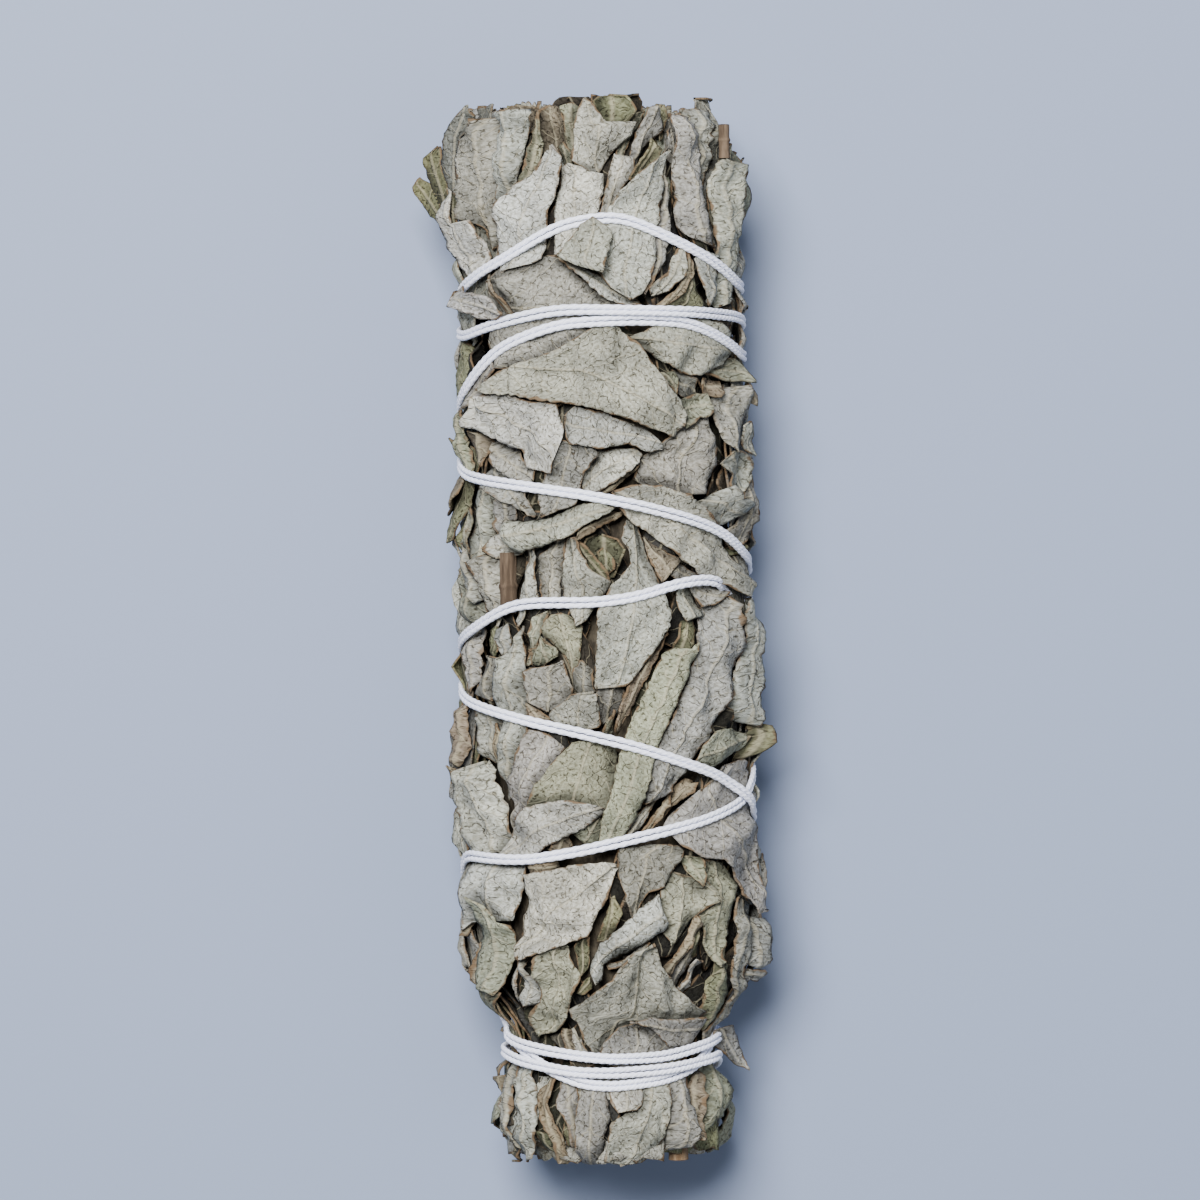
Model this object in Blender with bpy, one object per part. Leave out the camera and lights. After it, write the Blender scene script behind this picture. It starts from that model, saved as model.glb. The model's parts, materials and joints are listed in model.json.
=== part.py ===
"""A short smudge stick: dried sage leaves packed into a fat bundle and wound with doubled cotton.

The bundle lies along Y with its leafy top end at +Y and its cut stalks at -Y. All sizes in the
tables are millimetres and become metres where a mesh is made.
"""

import math
import random

import bmesh
import bpy
import numpy as np

MM = 0.001

# Driving sizes
AXIS_HEIGHT = 13.45
ROLL_RADIUS = 13.0
PROFILE = (
    (-51.0, 10.6, 9.6),
    (-47.2, 11.5, 10.4),
    (-44.0, 9.5, 8.8),
    (-37.6, 9.5, 8.8),
    (-33.2, 13.2, 11.9),
    (-28.0, 13.9, 12.25),
    (0.0, 13.7, 12.25),
    (30.0, 13.5, 12.1),
    (44.0, 12.9, 11.6),
    (51.0, 11.6, 10.4),
)
CORE_SHARE = 0.87
CORE_SHARE_BELOW = 0.92
WAIST_PLEATS = (0.96, 0.86)
CORE_SIDES = 18
CORE_ENDS = (-47.4, 44.6)
WAIST = (-43.8, -37.8)
BLADE_THICKNESS = 0.66
PAD_THICKNESS = 3.0
STRAND_RADIUS = 0.24
STRAND_SPACING = 0.66
STRAND_SIDES = 6
THREAD_LIFT = 0.74
CROSSING_LIFT = 0.94
CROSSING_REACH = 1.35
CROSSING_SLOPE = 0.55
THREAD_TOLERANCE = 0.16
KNOT_TOLERANCE = 0.06
KNOT_TRAVEL = 26.0
HOLE_CLEARANCE = 0.3
CENTRE_SHIFT = (1.226, 0.0)

LEAF_COLOUR = (0.34, 0.36, 0.26, 1.0)
STEM_COLOUR = (0.27, 0.17, 0.09, 1.0)
THREAD_COLOUR = (0.86, 0.86, 0.88, 1.0)

# Leaves seen from above: x, y, heading of the tip, length, width, share of the envelope at the tip
FRONT_LEAVES = (
    (-15.6, 40.6, 118, 9.0, 2.2, 1.4),
    (-14.6, 43.4, 106, 9.0, 2.4, 1.24),
    (-13.0, 45.2, 86, 11.5, 3.4, 1.1),
    (-11.2, 44.5, 90, 11.5, 3.8, 1.04),
    (-8.6, 45.5, 84, 10.5, 3.0, 1.02),
    (-6.3, 45.8, 112, 8.0, 1.8, 1.0),
    (-4.6, 47.0, 90, 7.5, 2.8, 0.98),
    (0.1, 46.4, 90, 9.0, 6.0, 1.02),
    (1.6, 47.6, 88, 7.5, 3.6, 0.92),
    (5.0, 45.2, 92, 10.5, 2.6, 1.0),
    (6.9, 43.5, 90, 10.0, 1.8, 1.03),
    (9.3, 44.4, 88, 11.0, 4.5, 1.02),
    (12.0, 38.6, 84, 12.5, 2.6, 1.02),
    (-7.1, 40.7, 60, 11.5, 4.5, 1.0),
    (-2.0, 40.6, 90, 9.5, 4.8, 1.0),
    (2.0, 42.5, 92, 6.5, 3.2, 0.97),
    (4.9, 39.0, 78, 14.0, 5.0, 1.0),
    (-0.9, 36.6, 75, 6.0, 4.0, 1.0),
    (6.9, 34.2, 68, 7.0, 3.2, 0.99),
    (10.2, 33.4, 88, 6.0, 2.4, 1.0),
    (-12.4, 38.2, 92, 9.0, 3.8, 1.0),
    (-4.0, 31.1, -9, 15.5, 8.0, 0.99),
    (0.7, 22.5, -25, 20.0, 6.5, 1.0),
    (8.2, 26.7, -12, 11.5, 5.0, 1.0),
    (-8.0, 19.2, 172, 9.5, 7.0, 0.99),
    (1.3, 18.7, 4, 10.5, 4.8, 0.98),
    (0.9, 15.3, -3, 7.0, 4.5, 0.96),
    (7.5, 16.5, -85, 9.0, 7.5, 1.0),
    (12.3, 20.5, -78, 7.5, 3.5, 1.0),
    (-11.9, 23.2, 200, 6.0, 3.6, 1.0),
    (-9.1, 14.1, -50, 8.5, 3.8, 1.0),
    (-12.2, 10.4, -95, 8.0, 2.2, 0.98),
    (-13.0, 6.1, -90, 10.7, 3.2, 1.0),
    (-1.9, 6.0, -90, 7.0, 5.0, 1.0),
    (-3.3, 11.7, 10, 13.0, 2.6, 1.0),
    (-5.3, 6.1, 90, 6.5, 2.8, 0.97),
    (7.2, 9.2, -35, 16.5, 6.0, 1.0),
    (3.0, 7.2, -92, 7.5, 4.4, 0.97),
    (13.2, 11.4, -62, 7.5, 3.2, 1.0),
    (2.7, -0.9, -100, 9.0, 7.2, 1.0),
    (8.4, 1.8, -80, 6.5, 2.8, 0.98),
    (13.1, -3.4, -88, 13.0, 2.8, 1.0),
    (-9.2, -4.7, -95, 14.5, 2.8, 1.0),
    (-4.2, -1.5, -88, 6.0, 4.0, 0.98),
    (-3.1, -7.2, 92, 5.5, 4.8, 0.97),
    (0.6, -6.6, 84, 5.5, 3.2, 0.96),
    (-7.0, -13.8, -80, 9.5, 6.0, 1.0),
    (-3.1, -13.1, -92, 7.5, 7.0, 0.97),
    (-6.1, -18.7, 20, 11.5, 4.3, 1.0),
    (-12.3, -16.6, -100, 9.0, 4.4, 1.0),
    (-13.2, -2.5, -88, 7.0, 2.2, 1.0),
    (4.5, -9.9, 68, 18.0, 3.5, 0.98),
    (8.6, -6.6, 65, 20.0, 5.0, 1.0),
    (10.9, -19.5, -60, 14.0, 7.0, 1.0),
    (11.8, -11.4, -32, 7.0, 3.6, 0.99),
    (-11.3, -24.7, -90, 7.0, 5.2, 0.99),
    (-11.6, -31.0, -80, 11.0, 2.9, 1.0),
    (-4.8, -26.2, 32, 10.5, 7.4, 1.0),
    (-5.4, -32.6, -88, 9.0, 5.0, 0.98),
    (1.4, -29.2, 38, 9.5, 3.3, 0.98),
    (4.1, -23.6, -40, 8.5, 5.4, 1.0),
    (6.8, -25.8, -88, 8.0, 4.8, 0.97),
    (10.6, -27.1, -92, 10.5, 3.8, 1.0),
    (11.0, -31.2, -104, 11.0, 2.0, 1.0),
    (13.6, -29.0, -88, 6.5, 2.4, 1.0),
    (2.6, -32.4, -98, 9.5, 10.5, 1.0),
    (-9.4, -48.0, -94, 6.4, 2.0, 1.05),
    (-7.4, -48.0, -90, 6.6, 2.4, 1.0),
    (-4.6, -48.0, -88, 6.4, 2.6, 1.0),
    (-1.7, -48.0, -92, 6.6, 2.8, 1.0),
    (2.3, -48.0, -88, 6.6, 5.4, 1.03),
    (6.2, -48.0, -90, 6.4, 2.4, 1.0),
    (9.8, -47.0, -74, 5.4, 2.8, 1.12),
)

# Leaves on the flanks and the underside: count, first and last turn from the top in degrees
FLANK_ROWS = ((6, 68, 96), (4, 104, 130), (4, 140, 164), (4, 196, 220), (4, 230, 256), (6, 264, 292))
FLANK_SEED = 7

# Leaf layers that stand out of the two ends: share of the section, middle angle, span, tip y
TOP_SCROLLS = (
    (0.2, 40, 200, 49.0),
    (0.34, 210, 190, 50.0),
    (0.5, 80, 120, 50.4),
    (0.5, 300, 90, 48.8),
    (0.64, 10, 80, 49.6),
    (0.66, 150, 90, 50.2),
    (0.66, 245, 70, 48.6),
    (0.8, 70, 60, 50.8),
    (0.8, 200, 70, 49.4),
    (0.8, 320, 60, 49.0),
    (0.9, 120, 50, 49.8),
    (0.9, 265, 60, 48.8),
)
BOTTOM_SCROLLS = (
    (0.22, 100, 180, -50.2),
    (0.4, 250, 120, -50.8),
    (0.42, 20, 90, -49.8),
    (0.58, 160, 80, -50.4),
    (0.74, 60, 60, -50.8),
    (0.74, 215, 70, -50.0),
    (0.76, 300, 70, -50.6),
    (0.9, 100, 50, -50.8),
    (0.9, 265, 60, -50.2),
    (0.92, 185, 50, -50.4),
    (0.92, 350, 50, -50.0),
)

# Woody stalks in their holes: name, x, height, radius, root y, end y
STALKS = (
    ("stalk_tan", 6.2, 18.6, 1.0, -37.0, -50.6),
    ("stalk_middle", -0.6, 13.0, 1.3, -33.0, -51.2),
    ("stalk_left", -5.2, 15.4, 1.05, -36.0, -50.4),
    ("stalk_low", 2.6, 8.2, 1.1, -36.0, -50.8),
    ("stalk_top_stub", 8.2, 16.6, 0.8, 34.0, 49.4),
)

# Leaves pressed flat against the surface that the bundle rests on: x, y, length, width
RESTING_LEAVES = ((0.0, 40.0, 10.0, 7.6), (0.4, 6.6, 5.6, 7.4), (-0.2, -15.6, 9.6, 7.8))

# The thread crosses the top ten times, left to right, as x and y; between them it goes round below
THREAD_PASSES = (
    ((-9.6, -39.0), (-6.6, -41.4), (-3.0, -43.0), (0.0, -43.3), (5.0, -42.8), (8.2, -41.6), (9.9, -39.6)),
    ((-14.2, -21.2), (-11.0, -21.5), (-7.7, -21.6), (-2.8, -20.8), (3.0, -19.5), (9.5, -18.0), (13.4, -16.2), (14.6, -14.6)),
    ((-12.4, 0.6), (-9.0, 2.6), (-6.0, 2.8), (-1.2, 2.7), (3.3, 3.2), (6.4, 4.3), (10.2, 4.9), (12.9, 3.4), (14.4, 1.8)),
    ((-13.1, 23.5), (-9.7, 27.0), (-4.0, 28.6), (3.7, 28.9), (8.4, 28.8), (14.2, 26.1)),
    ((-13.0, 33.4), (-9.0, 35.6), (-3.5, 38.6), (1.9, 39.3), (7.5, 36.8), (13.5, 33.0)),
    ((-13.3, 28.3), (-3.9, 30.6), (4.6, 30.3), (13.4, 29.9)),
    ((-13.4, 15.1), (-7.2, 13.8), (-1.9, 12.9), (3.4, 11.8), (9.3, 10.2), (11.8, 9.0), (13.8, 7.0)),
    ((-14.3, -6.2), (-11.1, -7.4), (-6.2, -8.8), (-2.6, -9.6), (3.0, -11.0), (7.7, -12.7), (10.8, -13.9), (14.4, -17.4)),
    ((-9.9, -38.8), (-7.4, -39.6), (-3.6, -40.3), (0.0, -40.7), (5.0, -40.6), (9.9, -39.2)),
    ((-9.9, -40.2), (-7.0, -41.2), (-3.3, -41.9), (0.0, -42.0), (5.0, -41.7), (9.9, -40.8)),
)
UNDERSIDE_HEIGHTS = ((-36.4, -33.0), (-10.6, -6.8), (8.0, 13.4), (26.6, 27.4), (32.4, 31.8), (28.4, 22.6), (4.6, 1.0), (-19.6, -24.6), (-38.6, -38.4))
KNOT_CENTRE = (30.0, -41.7)
KNOT_RADIUS = 1.7


def material(name, colour, roughness):
    """Returns a plain Principled material."""
    made = bpy.data.materials.new(name)
    made.use_nodes = True
    shader = made.node_tree.nodes["Principled BSDF"]
    shader.inputs["Base Color"].default_value = colour
    shader.inputs["Roughness"].default_value = roughness
    made.diffuse_color = colour
    return made


def mesh_object(name, points, faces, collection):
    """Returns a mesh object from points in millimetres, its faces turned outwards."""
    mesh = bpy.data.meshes.new(name)
    mesh.from_pydata([tuple(MM * value for value in point) for point in points], [], faces)
    made = bpy.data.objects.new(name, mesh)
    collection.objects.link(made)
    work = bmesh.new()
    work.from_mesh(mesh)
    bmesh.ops.recalc_face_normals(work, faces=work.faces)
    work.to_mesh(mesh)
    work.free()
    return made


def half_axes(y):
    """Returns half the width and half the height of the leaf envelope at y."""
    stations = [row[0] for row in PROFILE]
    width = np.interp(y, stations, [row[1] for row in PROFILE])
    height = np.interp(y, stations, [row[2] for row in PROFILE])
    return width, height


def section_point(angle, y, share):
    """Returns the point at this angle, in radians from +X, on the envelope scaled by share."""
    width, height = half_axes(y)
    return (
        width * share * math.cos(angle),
        y,
        AXIS_HEIGHT + height * share * math.sin(angle),
    )


def thread_seat(angle, y):
    """Returns the envelope point under the thread, with the inner corners of the waist eased."""
    near = np.array([half_axes(y + step) for step in (-1.8, -1.2, -0.6, 0.0, 0.6, 1.2, 1.8)])
    width, height = np.maximum(near[3], near.mean(axis=0))
    return np.array((width * math.cos(angle), y, AXIS_HEIGHT + height * math.sin(angle)))


def turn_of(x, y):
    """Returns the distance round the bundle, from its top line, of a point seen at x."""
    width = half_axes(y)[0] + THREAD_LIFT
    return ROLL_RADIUS * math.asin(max(-1.0, min(1.0, x / width)))


def shell(outer, inner, rows, columns, name, collection):
    """Returns a closed blade between two like grids of points, split alike on both faces."""
    count = rows * columns
    faces = []
    for i in range(rows - 1):
        for j in range(columns - 1):
            a = i * columns + j
            b = a + 1
            c = a + columns
            d = c + 1
            split = [(a, b, d), (a, d, c)] if (i + j) % 2 else [(a, b, c), (b, d, c)]
            faces += split
            faces += [tuple(index + count for index in reversed(face)) for face in split]
    rim = [j for j in range(columns)]
    rim += [i * columns + columns - 1 for i in range(1, rows)]
    rim += [(rows - 1) * columns + j for j in range(columns - 2, -1, -1)]
    rim += [i * columns for i in range(rows - 2, 0, -1)]
    for start, end in zip(rim, rim[1:] + rim[:1]):
        faces += [(start, end, end + count), (start, end + count, start + count)]
    return mesh_object(name, outer + inner, faces, collection)


def leaf_blade(name, turn, y, heading, length, width, tip_share, collection, seed):
    """Returns one leaf blade: its root is sunk in the core, its tip lies out at the envelope."""
    chance = random.Random(seed)
    along = 5 if length > 12.5 else 4
    across = 3 if width > 3.3 else 2
    direction = math.radians(heading)
    cup = chance.uniform(-0.035, 0.035)
    wave = chance.uniform(0.05, 0.12)
    low, high = (WAIST[1] + 0.3, 51.5) if y > WAIST[1] else (-51.5, WAIST[0] - 0.3)
    outer = []
    inner = []
    for i in range(along):
        t = i / (along - 1)
        outline = max(0.3, math.sin(math.pi * (0.16 + 0.76 * t)) ** 0.75)
        outline *= 1.0 + wave * (1 if i % 2 else -1)
        rise = t if tip_share > 1.1 else min(1.0, 0.2 + 1.25 * t)
        share = 0.79 + (tip_share - 0.79) * rise if i else 0.77
        for j in range(across):
            side = 2 * j / (across - 1) - 1
            a = (t - 0.5) * length + chance.uniform(-0.04, 0.04) * length
            b = side * outline * width / 2
            place_turn = turn + a * math.cos(direction) - b * math.sin(direction)
            place_y = min(high, max(low, y + a * math.sin(direction) + b * math.cos(direction)))
            lifted = share + (cup * side * side if i else 0.0)
            lifted = min(lifted, max(1.0, tip_share))
            angle = math.pi / 2 - place_turn / ROLL_RADIUS
            outer.append(section_point(angle, place_y, lifted))
            inner.append(section_point(angle, place_y, lifted - BLADE_THICKNESS / 12.2))
    return shell(outer, inner, along, across, name, collection)


def end_layer(name, share, middle, span, root, tip, collection):
    """Returns one curled leaf layer that stands out of an end of the bundle."""
    columns = max(3, round(span / 34) + 1)
    outer = []
    inner = []
    for i, y in enumerate((root, 0.5 * (root + tip), tip)):
        for j in range(columns):
            t = j / (columns - 1)
            angle = math.radians(middle + (t - 0.5) * span)
            place = share + 0.06 * (t - 0.5)
            ragged = 0.5 * math.sin(5.0 * t + middle) if i == 2 else 0.0
            thickness = BLADE_THICKNESS / 11.0
            outer.append(section_point(angle, y + ragged, place))
            inner.append(section_point(angle, y + ragged, place - thickness))
    return shell(outer, inner, 3, columns, name, collection)


def lofted(name, rings, collection):
    """Returns a closed solid through a list of rings with the same number of points."""
    sides = len(rings[0])
    points = [point for ring in rings for point in ring]
    faces = []
    for r in range(len(rings) - 1):
        for i in range(sides):
            j = (i + 1) % sides
            a = r * sides
            b = a + sides
            faces += [(a + i, a + j, b + j), (a + i, b + j, b + i)]
    last = (len(rings) - 1) * sides
    faces.append(tuple(reversed(range(sides))))
    faces.append(tuple(last + i for i in range(sides)))
    return mesh_object(name, points, faces, collection)


def core(collection):
    """Returns the packed middle of the bundle, which every leaf grows out of."""
    stations = [CORE_ENDS[0]]
    stations += [row[0] for row in PROFILE if CORE_ENDS[0] < row[0] < CORE_ENDS[1]]
    stations += [-14.0, 15.0, CORE_ENDS[1]]
    rings = []
    for y in sorted(stations):
        ring = []
        waisted = WAIST[0] - 1 < y < WAIST[1] + 1
        for i in range(CORE_SIDES):
            angle = 2 * math.pi * i / CORE_SIDES
            share = CORE_SHARE_BELOW if math.sin(angle) < -0.5 else CORE_SHARE
            if waisted:
                share = WAIST_PLEATS[i % 2]
            ring.append(section_point(angle, y, share))
        rings.append(ring)
    return lofted("leaf_bunch", rings, collection)


def resting_leaf(name, x, y, length, width, collection):
    """Returns a leaf pressed flat on the surface below, with a waved rim."""
    rings = []
    for height, grown in ((0.0, 1.0), (0.7, 1.04), (1.2, 1.3), (PAD_THICKNESS, 1.42)):
        ring = []
        for i in range(14):
            angle = 2 * math.pi * i / 14
            waved = grown * (1.0 + 0.05 * (1 if i % 2 else -1))
            ring.append(
                (
                    x + 0.5 * width * waved * math.cos(angle),
                    y + 0.5 * length * waved * math.sin(angle),
                    height,
                )
            )
        rings.append(ring)
    return lofted(name, rings, collection)


def stalk(name, x, height, radius, root, end, collection, clearance=0.0):
    """Returns a woody stalk along Y, or the plain cutter of its hole when clearance is given."""
    sides = 12
    rings = []
    stations = (0.0, 1.0) if clearance else (0.0, 0.35, 0.5, 0.62, 1.0)
    growth = (1.0, 1.0) if clearance else (0.92, 0.95, 1.0, 0.93, 0.97)
    reach = 2.5 if clearance else 0.0
    for share, scale in zip(stations, growth):
        y = root + (end - root) * share
        if clearance:
            y += (reach if share else -HOLE_CLEARANCE) * (1 if end > root else -1)
        ring = []
        for i in range(sides):
            angle = 2 * math.pi * i / sides
            size = radius * scale + clearance
            if clearance:
                size /= math.cos(math.pi / sides)
            ring.append((x + size * math.cos(angle), y, height + size * math.sin(angle)))
        rings.append(ring)
    return lofted(name, rings, collection)


def biggest_shell(mesh):
    """Keeps the outer skin only, so that pockets closed in between leaves are solid."""
    work = bmesh.new()
    work.from_mesh(mesh)
    work.verts.ensure_lookup_table()
    left = set(work.verts)
    groups = []
    while left:
        start = left.pop()
        group = {start}
        edge = [start]
        while edge:
            vert = edge.pop()
            for link in vert.link_edges:
                other = link.other_vert(vert)
                if other in left:
                    left.discard(other)
                    group.add(other)
                    edge.append(other)
        groups.append(group)
    groups.sort(key=len, reverse=True)
    spare = [vert for group in groups[1:] for vert in group]
    bmesh.ops.delete(work, geom=spare, context="VERTS")
    work.to_mesh(mesh)
    work.free()


def apply_boolean(target, operation, collection):
    """Applies one Boolean with every object of a collection, then removes those objects."""
    cut = target.modifiers.new(operation.lower(), "BOOLEAN")
    cut.operation = operation
    cut.operand_type = "COLLECTION"
    cut.collection = collection
    cut.solver = "MANIFOLD" if operation == "UNION" else "EXACT"
    bpy.context.view_layer.update()
    graph = bpy.context.evaluated_depsgraph_get()
    joined = bpy.data.meshes.new_from_object(target.evaluated_get(graph))
    target.modifiers.clear()
    target.data = joined
    for used in list(collection.objects):
        bpy.data.objects.remove(used)


def thread_route():
    """Returns the thread's middle line as distance round the bundle and y, closely spaced."""
    circle = 2 * math.pi * ROLL_RADIUS
    turns = []
    heights = []
    for number, points in enumerate(THREAD_PASSES):
        for x, y in points:
            turns.append(number * circle + turn_of(x, y))
            heights.append(y)
        if number < len(UNDERSIDE_HEIGHTS):
            first, middle = UNDERSIDE_HEIGHTS[number]
            turns += [(number + 0.37) * circle, (number + 0.5) * circle]
            heights += [first, middle]
    grid = np.arange(turns[0], turns[-1], 0.4)
    smooth = np.interp(grid, turns, heights)
    window = np.exp(-0.5 * (np.arange(-12, 13) * 0.4 / 1.7) ** 2)
    padded = np.concatenate([np.full(12, smooth[0]), smooth, np.full(12, smooth[-1])])
    smooth = np.convolve(padded, window / window.sum(), mode="valid")
    base = (len(THREAD_PASSES) - 1) * circle
    knot_turn = base + KNOT_CENTRE[0]
    knot_y = KNOT_CENTRE[1]
    lead = np.linspace(grid[-1], knot_turn, 22)[1:]
    lead_y = np.interp(lead, [grid[-1], knot_turn], [smooth[-1], knot_y - KNOT_RADIUS])
    swing = np.radians(np.arange(-84, 276, 12))
    curl = knot_turn + KNOT_RADIUS * np.cos(swing)
    curl_y = knot_y + KNOT_RADIUS * np.sin(swing)
    tail = np.linspace(curl[-1], curl[-1] + 5.5, 14)[1:]
    tail_y = np.linspace(curl_y[-1], curl_y[-1] + 0.9, 14)[1:]
    turns = np.concatenate([grid, lead, curl, tail])
    heights = np.concatenate([smooth, lead_y, curl_y, tail_y])
    return turns, heights


def crossing_lifts(turns, heights):
    """Returns how far the thread rises over what it already crossed, at each point of its route."""
    circle = 2 * math.pi * ROLL_RADIUS
    lifts = np.zeros(len(turns))
    round_turns = turns % circle
    widths = half_axes(heights)[0] / ROLL_RADIUS
    steps = np.hypot(np.diff(turns), np.diff(heights))
    travelled = np.concatenate([[0.0], np.cumsum(steps)])
    for i in range(len(turns)):
        before = travelled < travelled[i] - 5.0
        if not before.any():
            continue
        apart = np.abs(round_turns[before] - round_turns[i])
        apart = np.minimum(apart, circle - apart) * widths[i]
        distance = np.hypot(apart, heights[before] - heights[i])
        fall = CROSSING_SLOPE * np.maximum(0.0, distance - CROSSING_REACH)
        lifts[i] = max(0.0, float((lifts[before] + CROSSING_LIFT - fall).max()))
    return lifts


def thinned(points, tolerance):
    """Returns the points that a polyline needs to stay within tolerance of the whole list."""
    keep = {0, len(points) - 1}
    spans = [(0, len(points) - 1)]
    while spans:
        first, last = spans.pop()
        if last - first < 2:
            continue
        chord = points[last] - points[first]
        inside = points[first + 1 : last] - points[first]
        share = np.clip(inside @ chord / max(float(chord @ chord), 1e-9), 0.0, 1.0)
        off = np.linalg.norm(inside - share[:, None] * chord, axis=1)
        worst = int(off.argmax())
        if off[worst] > tolerance:
            middle = first + 1 + worst
            keep.add(middle)
            spans += [(first, middle), (middle, last)]
    return points[sorted(keep)]


def thread_lines():
    """Returns one line of points for the doubled thread, folded back on itself at its start."""
    turns, heights = thread_route()
    lifts = THREAD_LIFT + crossing_lifts(turns, heights)
    middle = []
    outward = []
    for turn, y, lift in zip(turns, heights, lifts):
        angle = math.pi / 2 - turn / ROLL_RADIUS
        here = thread_seat(angle, y)
        round_step = thread_seat(angle + 0.01, y) - thread_seat(angle - 0.01, y)
        along_step = thread_seat(angle, y + 0.3) - thread_seat(angle, y - 0.3)
        normal = np.cross(along_step, round_step)
        normal /= np.linalg.norm(normal)
        middle.append(here + normal * lift)
        outward.append(normal)
    middle = np.array(middle)
    outward = np.array(outward)
    ahead = np.gradient(middle, axis=0)
    ahead /= np.linalg.norm(ahead, axis=1)[:, None]
    beside = np.cross(outward, ahead)
    beside /= np.linalg.norm(beside, axis=1)[:, None]
    half = STRAND_SPACING / 2
    lengths = np.linalg.norm(np.diff(middle, axis=0), axis=1)
    knot = int(np.searchsorted(np.cumsum(lengths), lengths.sum() - KNOT_TRAVEL))
    strands = []
    for side in (half, -half):
        line = middle + side * beside
        wound = thinned(line[: knot + 1], THREAD_TOLERANCE)
        strands.append(np.concatenate([wound[:-1], thinned(line[knot:], KNOT_TOLERANCE)]))
    first, second = strands
    fold = []
    for degrees in (45, 90, 135):
        angle = math.radians(degrees)
        fold.append(middle[0] + half * (math.cos(angle) * beside[0] - math.sin(angle) * ahead[0]))
    return np.concatenate([first[::-1], np.array(fold), second])


def tube(name, line, radius, sides, collection):
    """Returns a closed round tube along a line of points, turned as little as it can be."""
    ahead = np.gradient(line, axis=0)
    ahead /= np.linalg.norm(ahead, axis=1)[:, None]
    side = np.cross(ahead[0], (0.0, 0.0, 1.0))
    side /= np.linalg.norm(side)
    rings = []
    for point, direction in zip(line, ahead):
        side = side - direction * float(side @ direction)
        side /= np.linalg.norm(side)
        other = np.cross(direction, side)
        ring = []
        for i in range(sides):
            angle = 2 * math.pi * i / sides
            ring.append(tuple(point + radius * (math.cos(angle) * side + math.sin(angle) * other)))
        rings.append(ring)
    return lofted(name, rings, collection)


def build():
    """Builds the leaf bunch, its stalks and the thread round them."""
    for old in list(bpy.data.objects):
        bpy.data.objects.remove(old)
    scene = bpy.context.scene.collection
    parts = bpy.data.collections.new("sage_bunch")
    scene.children.link(parts)
    blades = bpy.data.collections.new("leaf_blades")
    scene.children.link(blades)
    holes = bpy.data.collections.new("stalk_holes")
    scene.children.link(holes)
    leaf = material("sage_leaf", LEAF_COLOUR, 0.9)
    wood = material("woody_stalk", STEM_COLOUR, 0.8)
    cotton = material("cotton_thread", THREAD_COLOUR, 0.85)

    bunch = core(parts)
    for number, (x, y, heading, length, width, share) in enumerate(FRONT_LEAVES):
        leaf_blade(f"front_{number}", turn_of(x, y), y, heading, length, width, share, blades, number)
    chance = random.Random(FLANK_SEED)
    for row, (count, first, last) in enumerate(FLANK_ROWS):
        for number in range(count):
            y = -30.0 + 74.0 * (number + chance.uniform(0.2, 0.8)) / count
            turn = math.radians(chance.uniform(first, last)) * ROLL_RADIUS
            heading = chance.choice((-90, 90)) + chance.uniform(-38, 38)
            length = chance.uniform(9.0, 15.0)
            width = chance.uniform(3.6, 6.6)
            share = chance.uniform(0.95, 1.0)
            seed = 200 + 20 * row + number
            leaf_blade(f"flank_{row}_{number}", turn, y, heading, length, width, share, blades, seed)
    for number, (share, middle, span, tip) in enumerate(TOP_SCROLLS):
        end_layer(f"top_{number}", share, middle, span, CORE_ENDS[1] - 1.6, tip, blades)
    for number, (share, middle, span, tip) in enumerate(BOTTOM_SCROLLS):
        end_layer(f"bottom_{number}", share, middle, span, CORE_ENDS[0] + 1.6, tip, blades)
    for number, (x, y, length, width) in enumerate(RESTING_LEAVES):
        resting_leaf(f"resting_{number}", x, y, length, width, blades)
    apply_boolean(bunch, "UNION", blades)
    biggest_shell(bunch.data)

    for name, x, height, radius, root, end in STALKS:
        stalk(f"hole_{name}", x, height, radius, root, end, holes, HOLE_CLEARANCE)
    apply_boolean(bunch, "DIFFERENCE", holes)
    biggest_shell(bunch.data)
    bunch.data.materials.clear()
    bunch.data.materials.append(leaf)

    for name, x, height, radius, root, end in STALKS:
        made = stalk(name, x, height, radius, root, end, parts)
        made.data.materials.append(wood)
    thread = tube("binding_thread", thread_lines(), STRAND_RADIUS, STRAND_SIDES, parts)
    thread.data.materials.append(cotton)

    for made in parts.objects:
        for vertex in made.data.vertices:
            vertex.co.x += MM * CENTRE_SHIFT[0]
            vertex.co.y += MM * CENTRE_SHIFT[1]
    bpy.data.collections.remove(blades)
    bpy.data.collections.remove(holes)


build()
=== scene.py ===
"""Scene of the sage bunch: dried sage leaves bound into a short stick by doubled cotton thread.

Every leaf is a thin sheet that is draped, in the order the leaves were laid, on a height map of
the bundle's unrolled surface. The thread then presses the leaves in along its route. Sizes are in
millimetres, +Y towards the leafy end and +X to the right. The outlines in the tables are spots on
named enlargements of the photograph, which View turns into the bundle's own plan.
"""

import json
import logging
import math
import random
from dataclasses import dataclass, field
from enum import Enum

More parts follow.
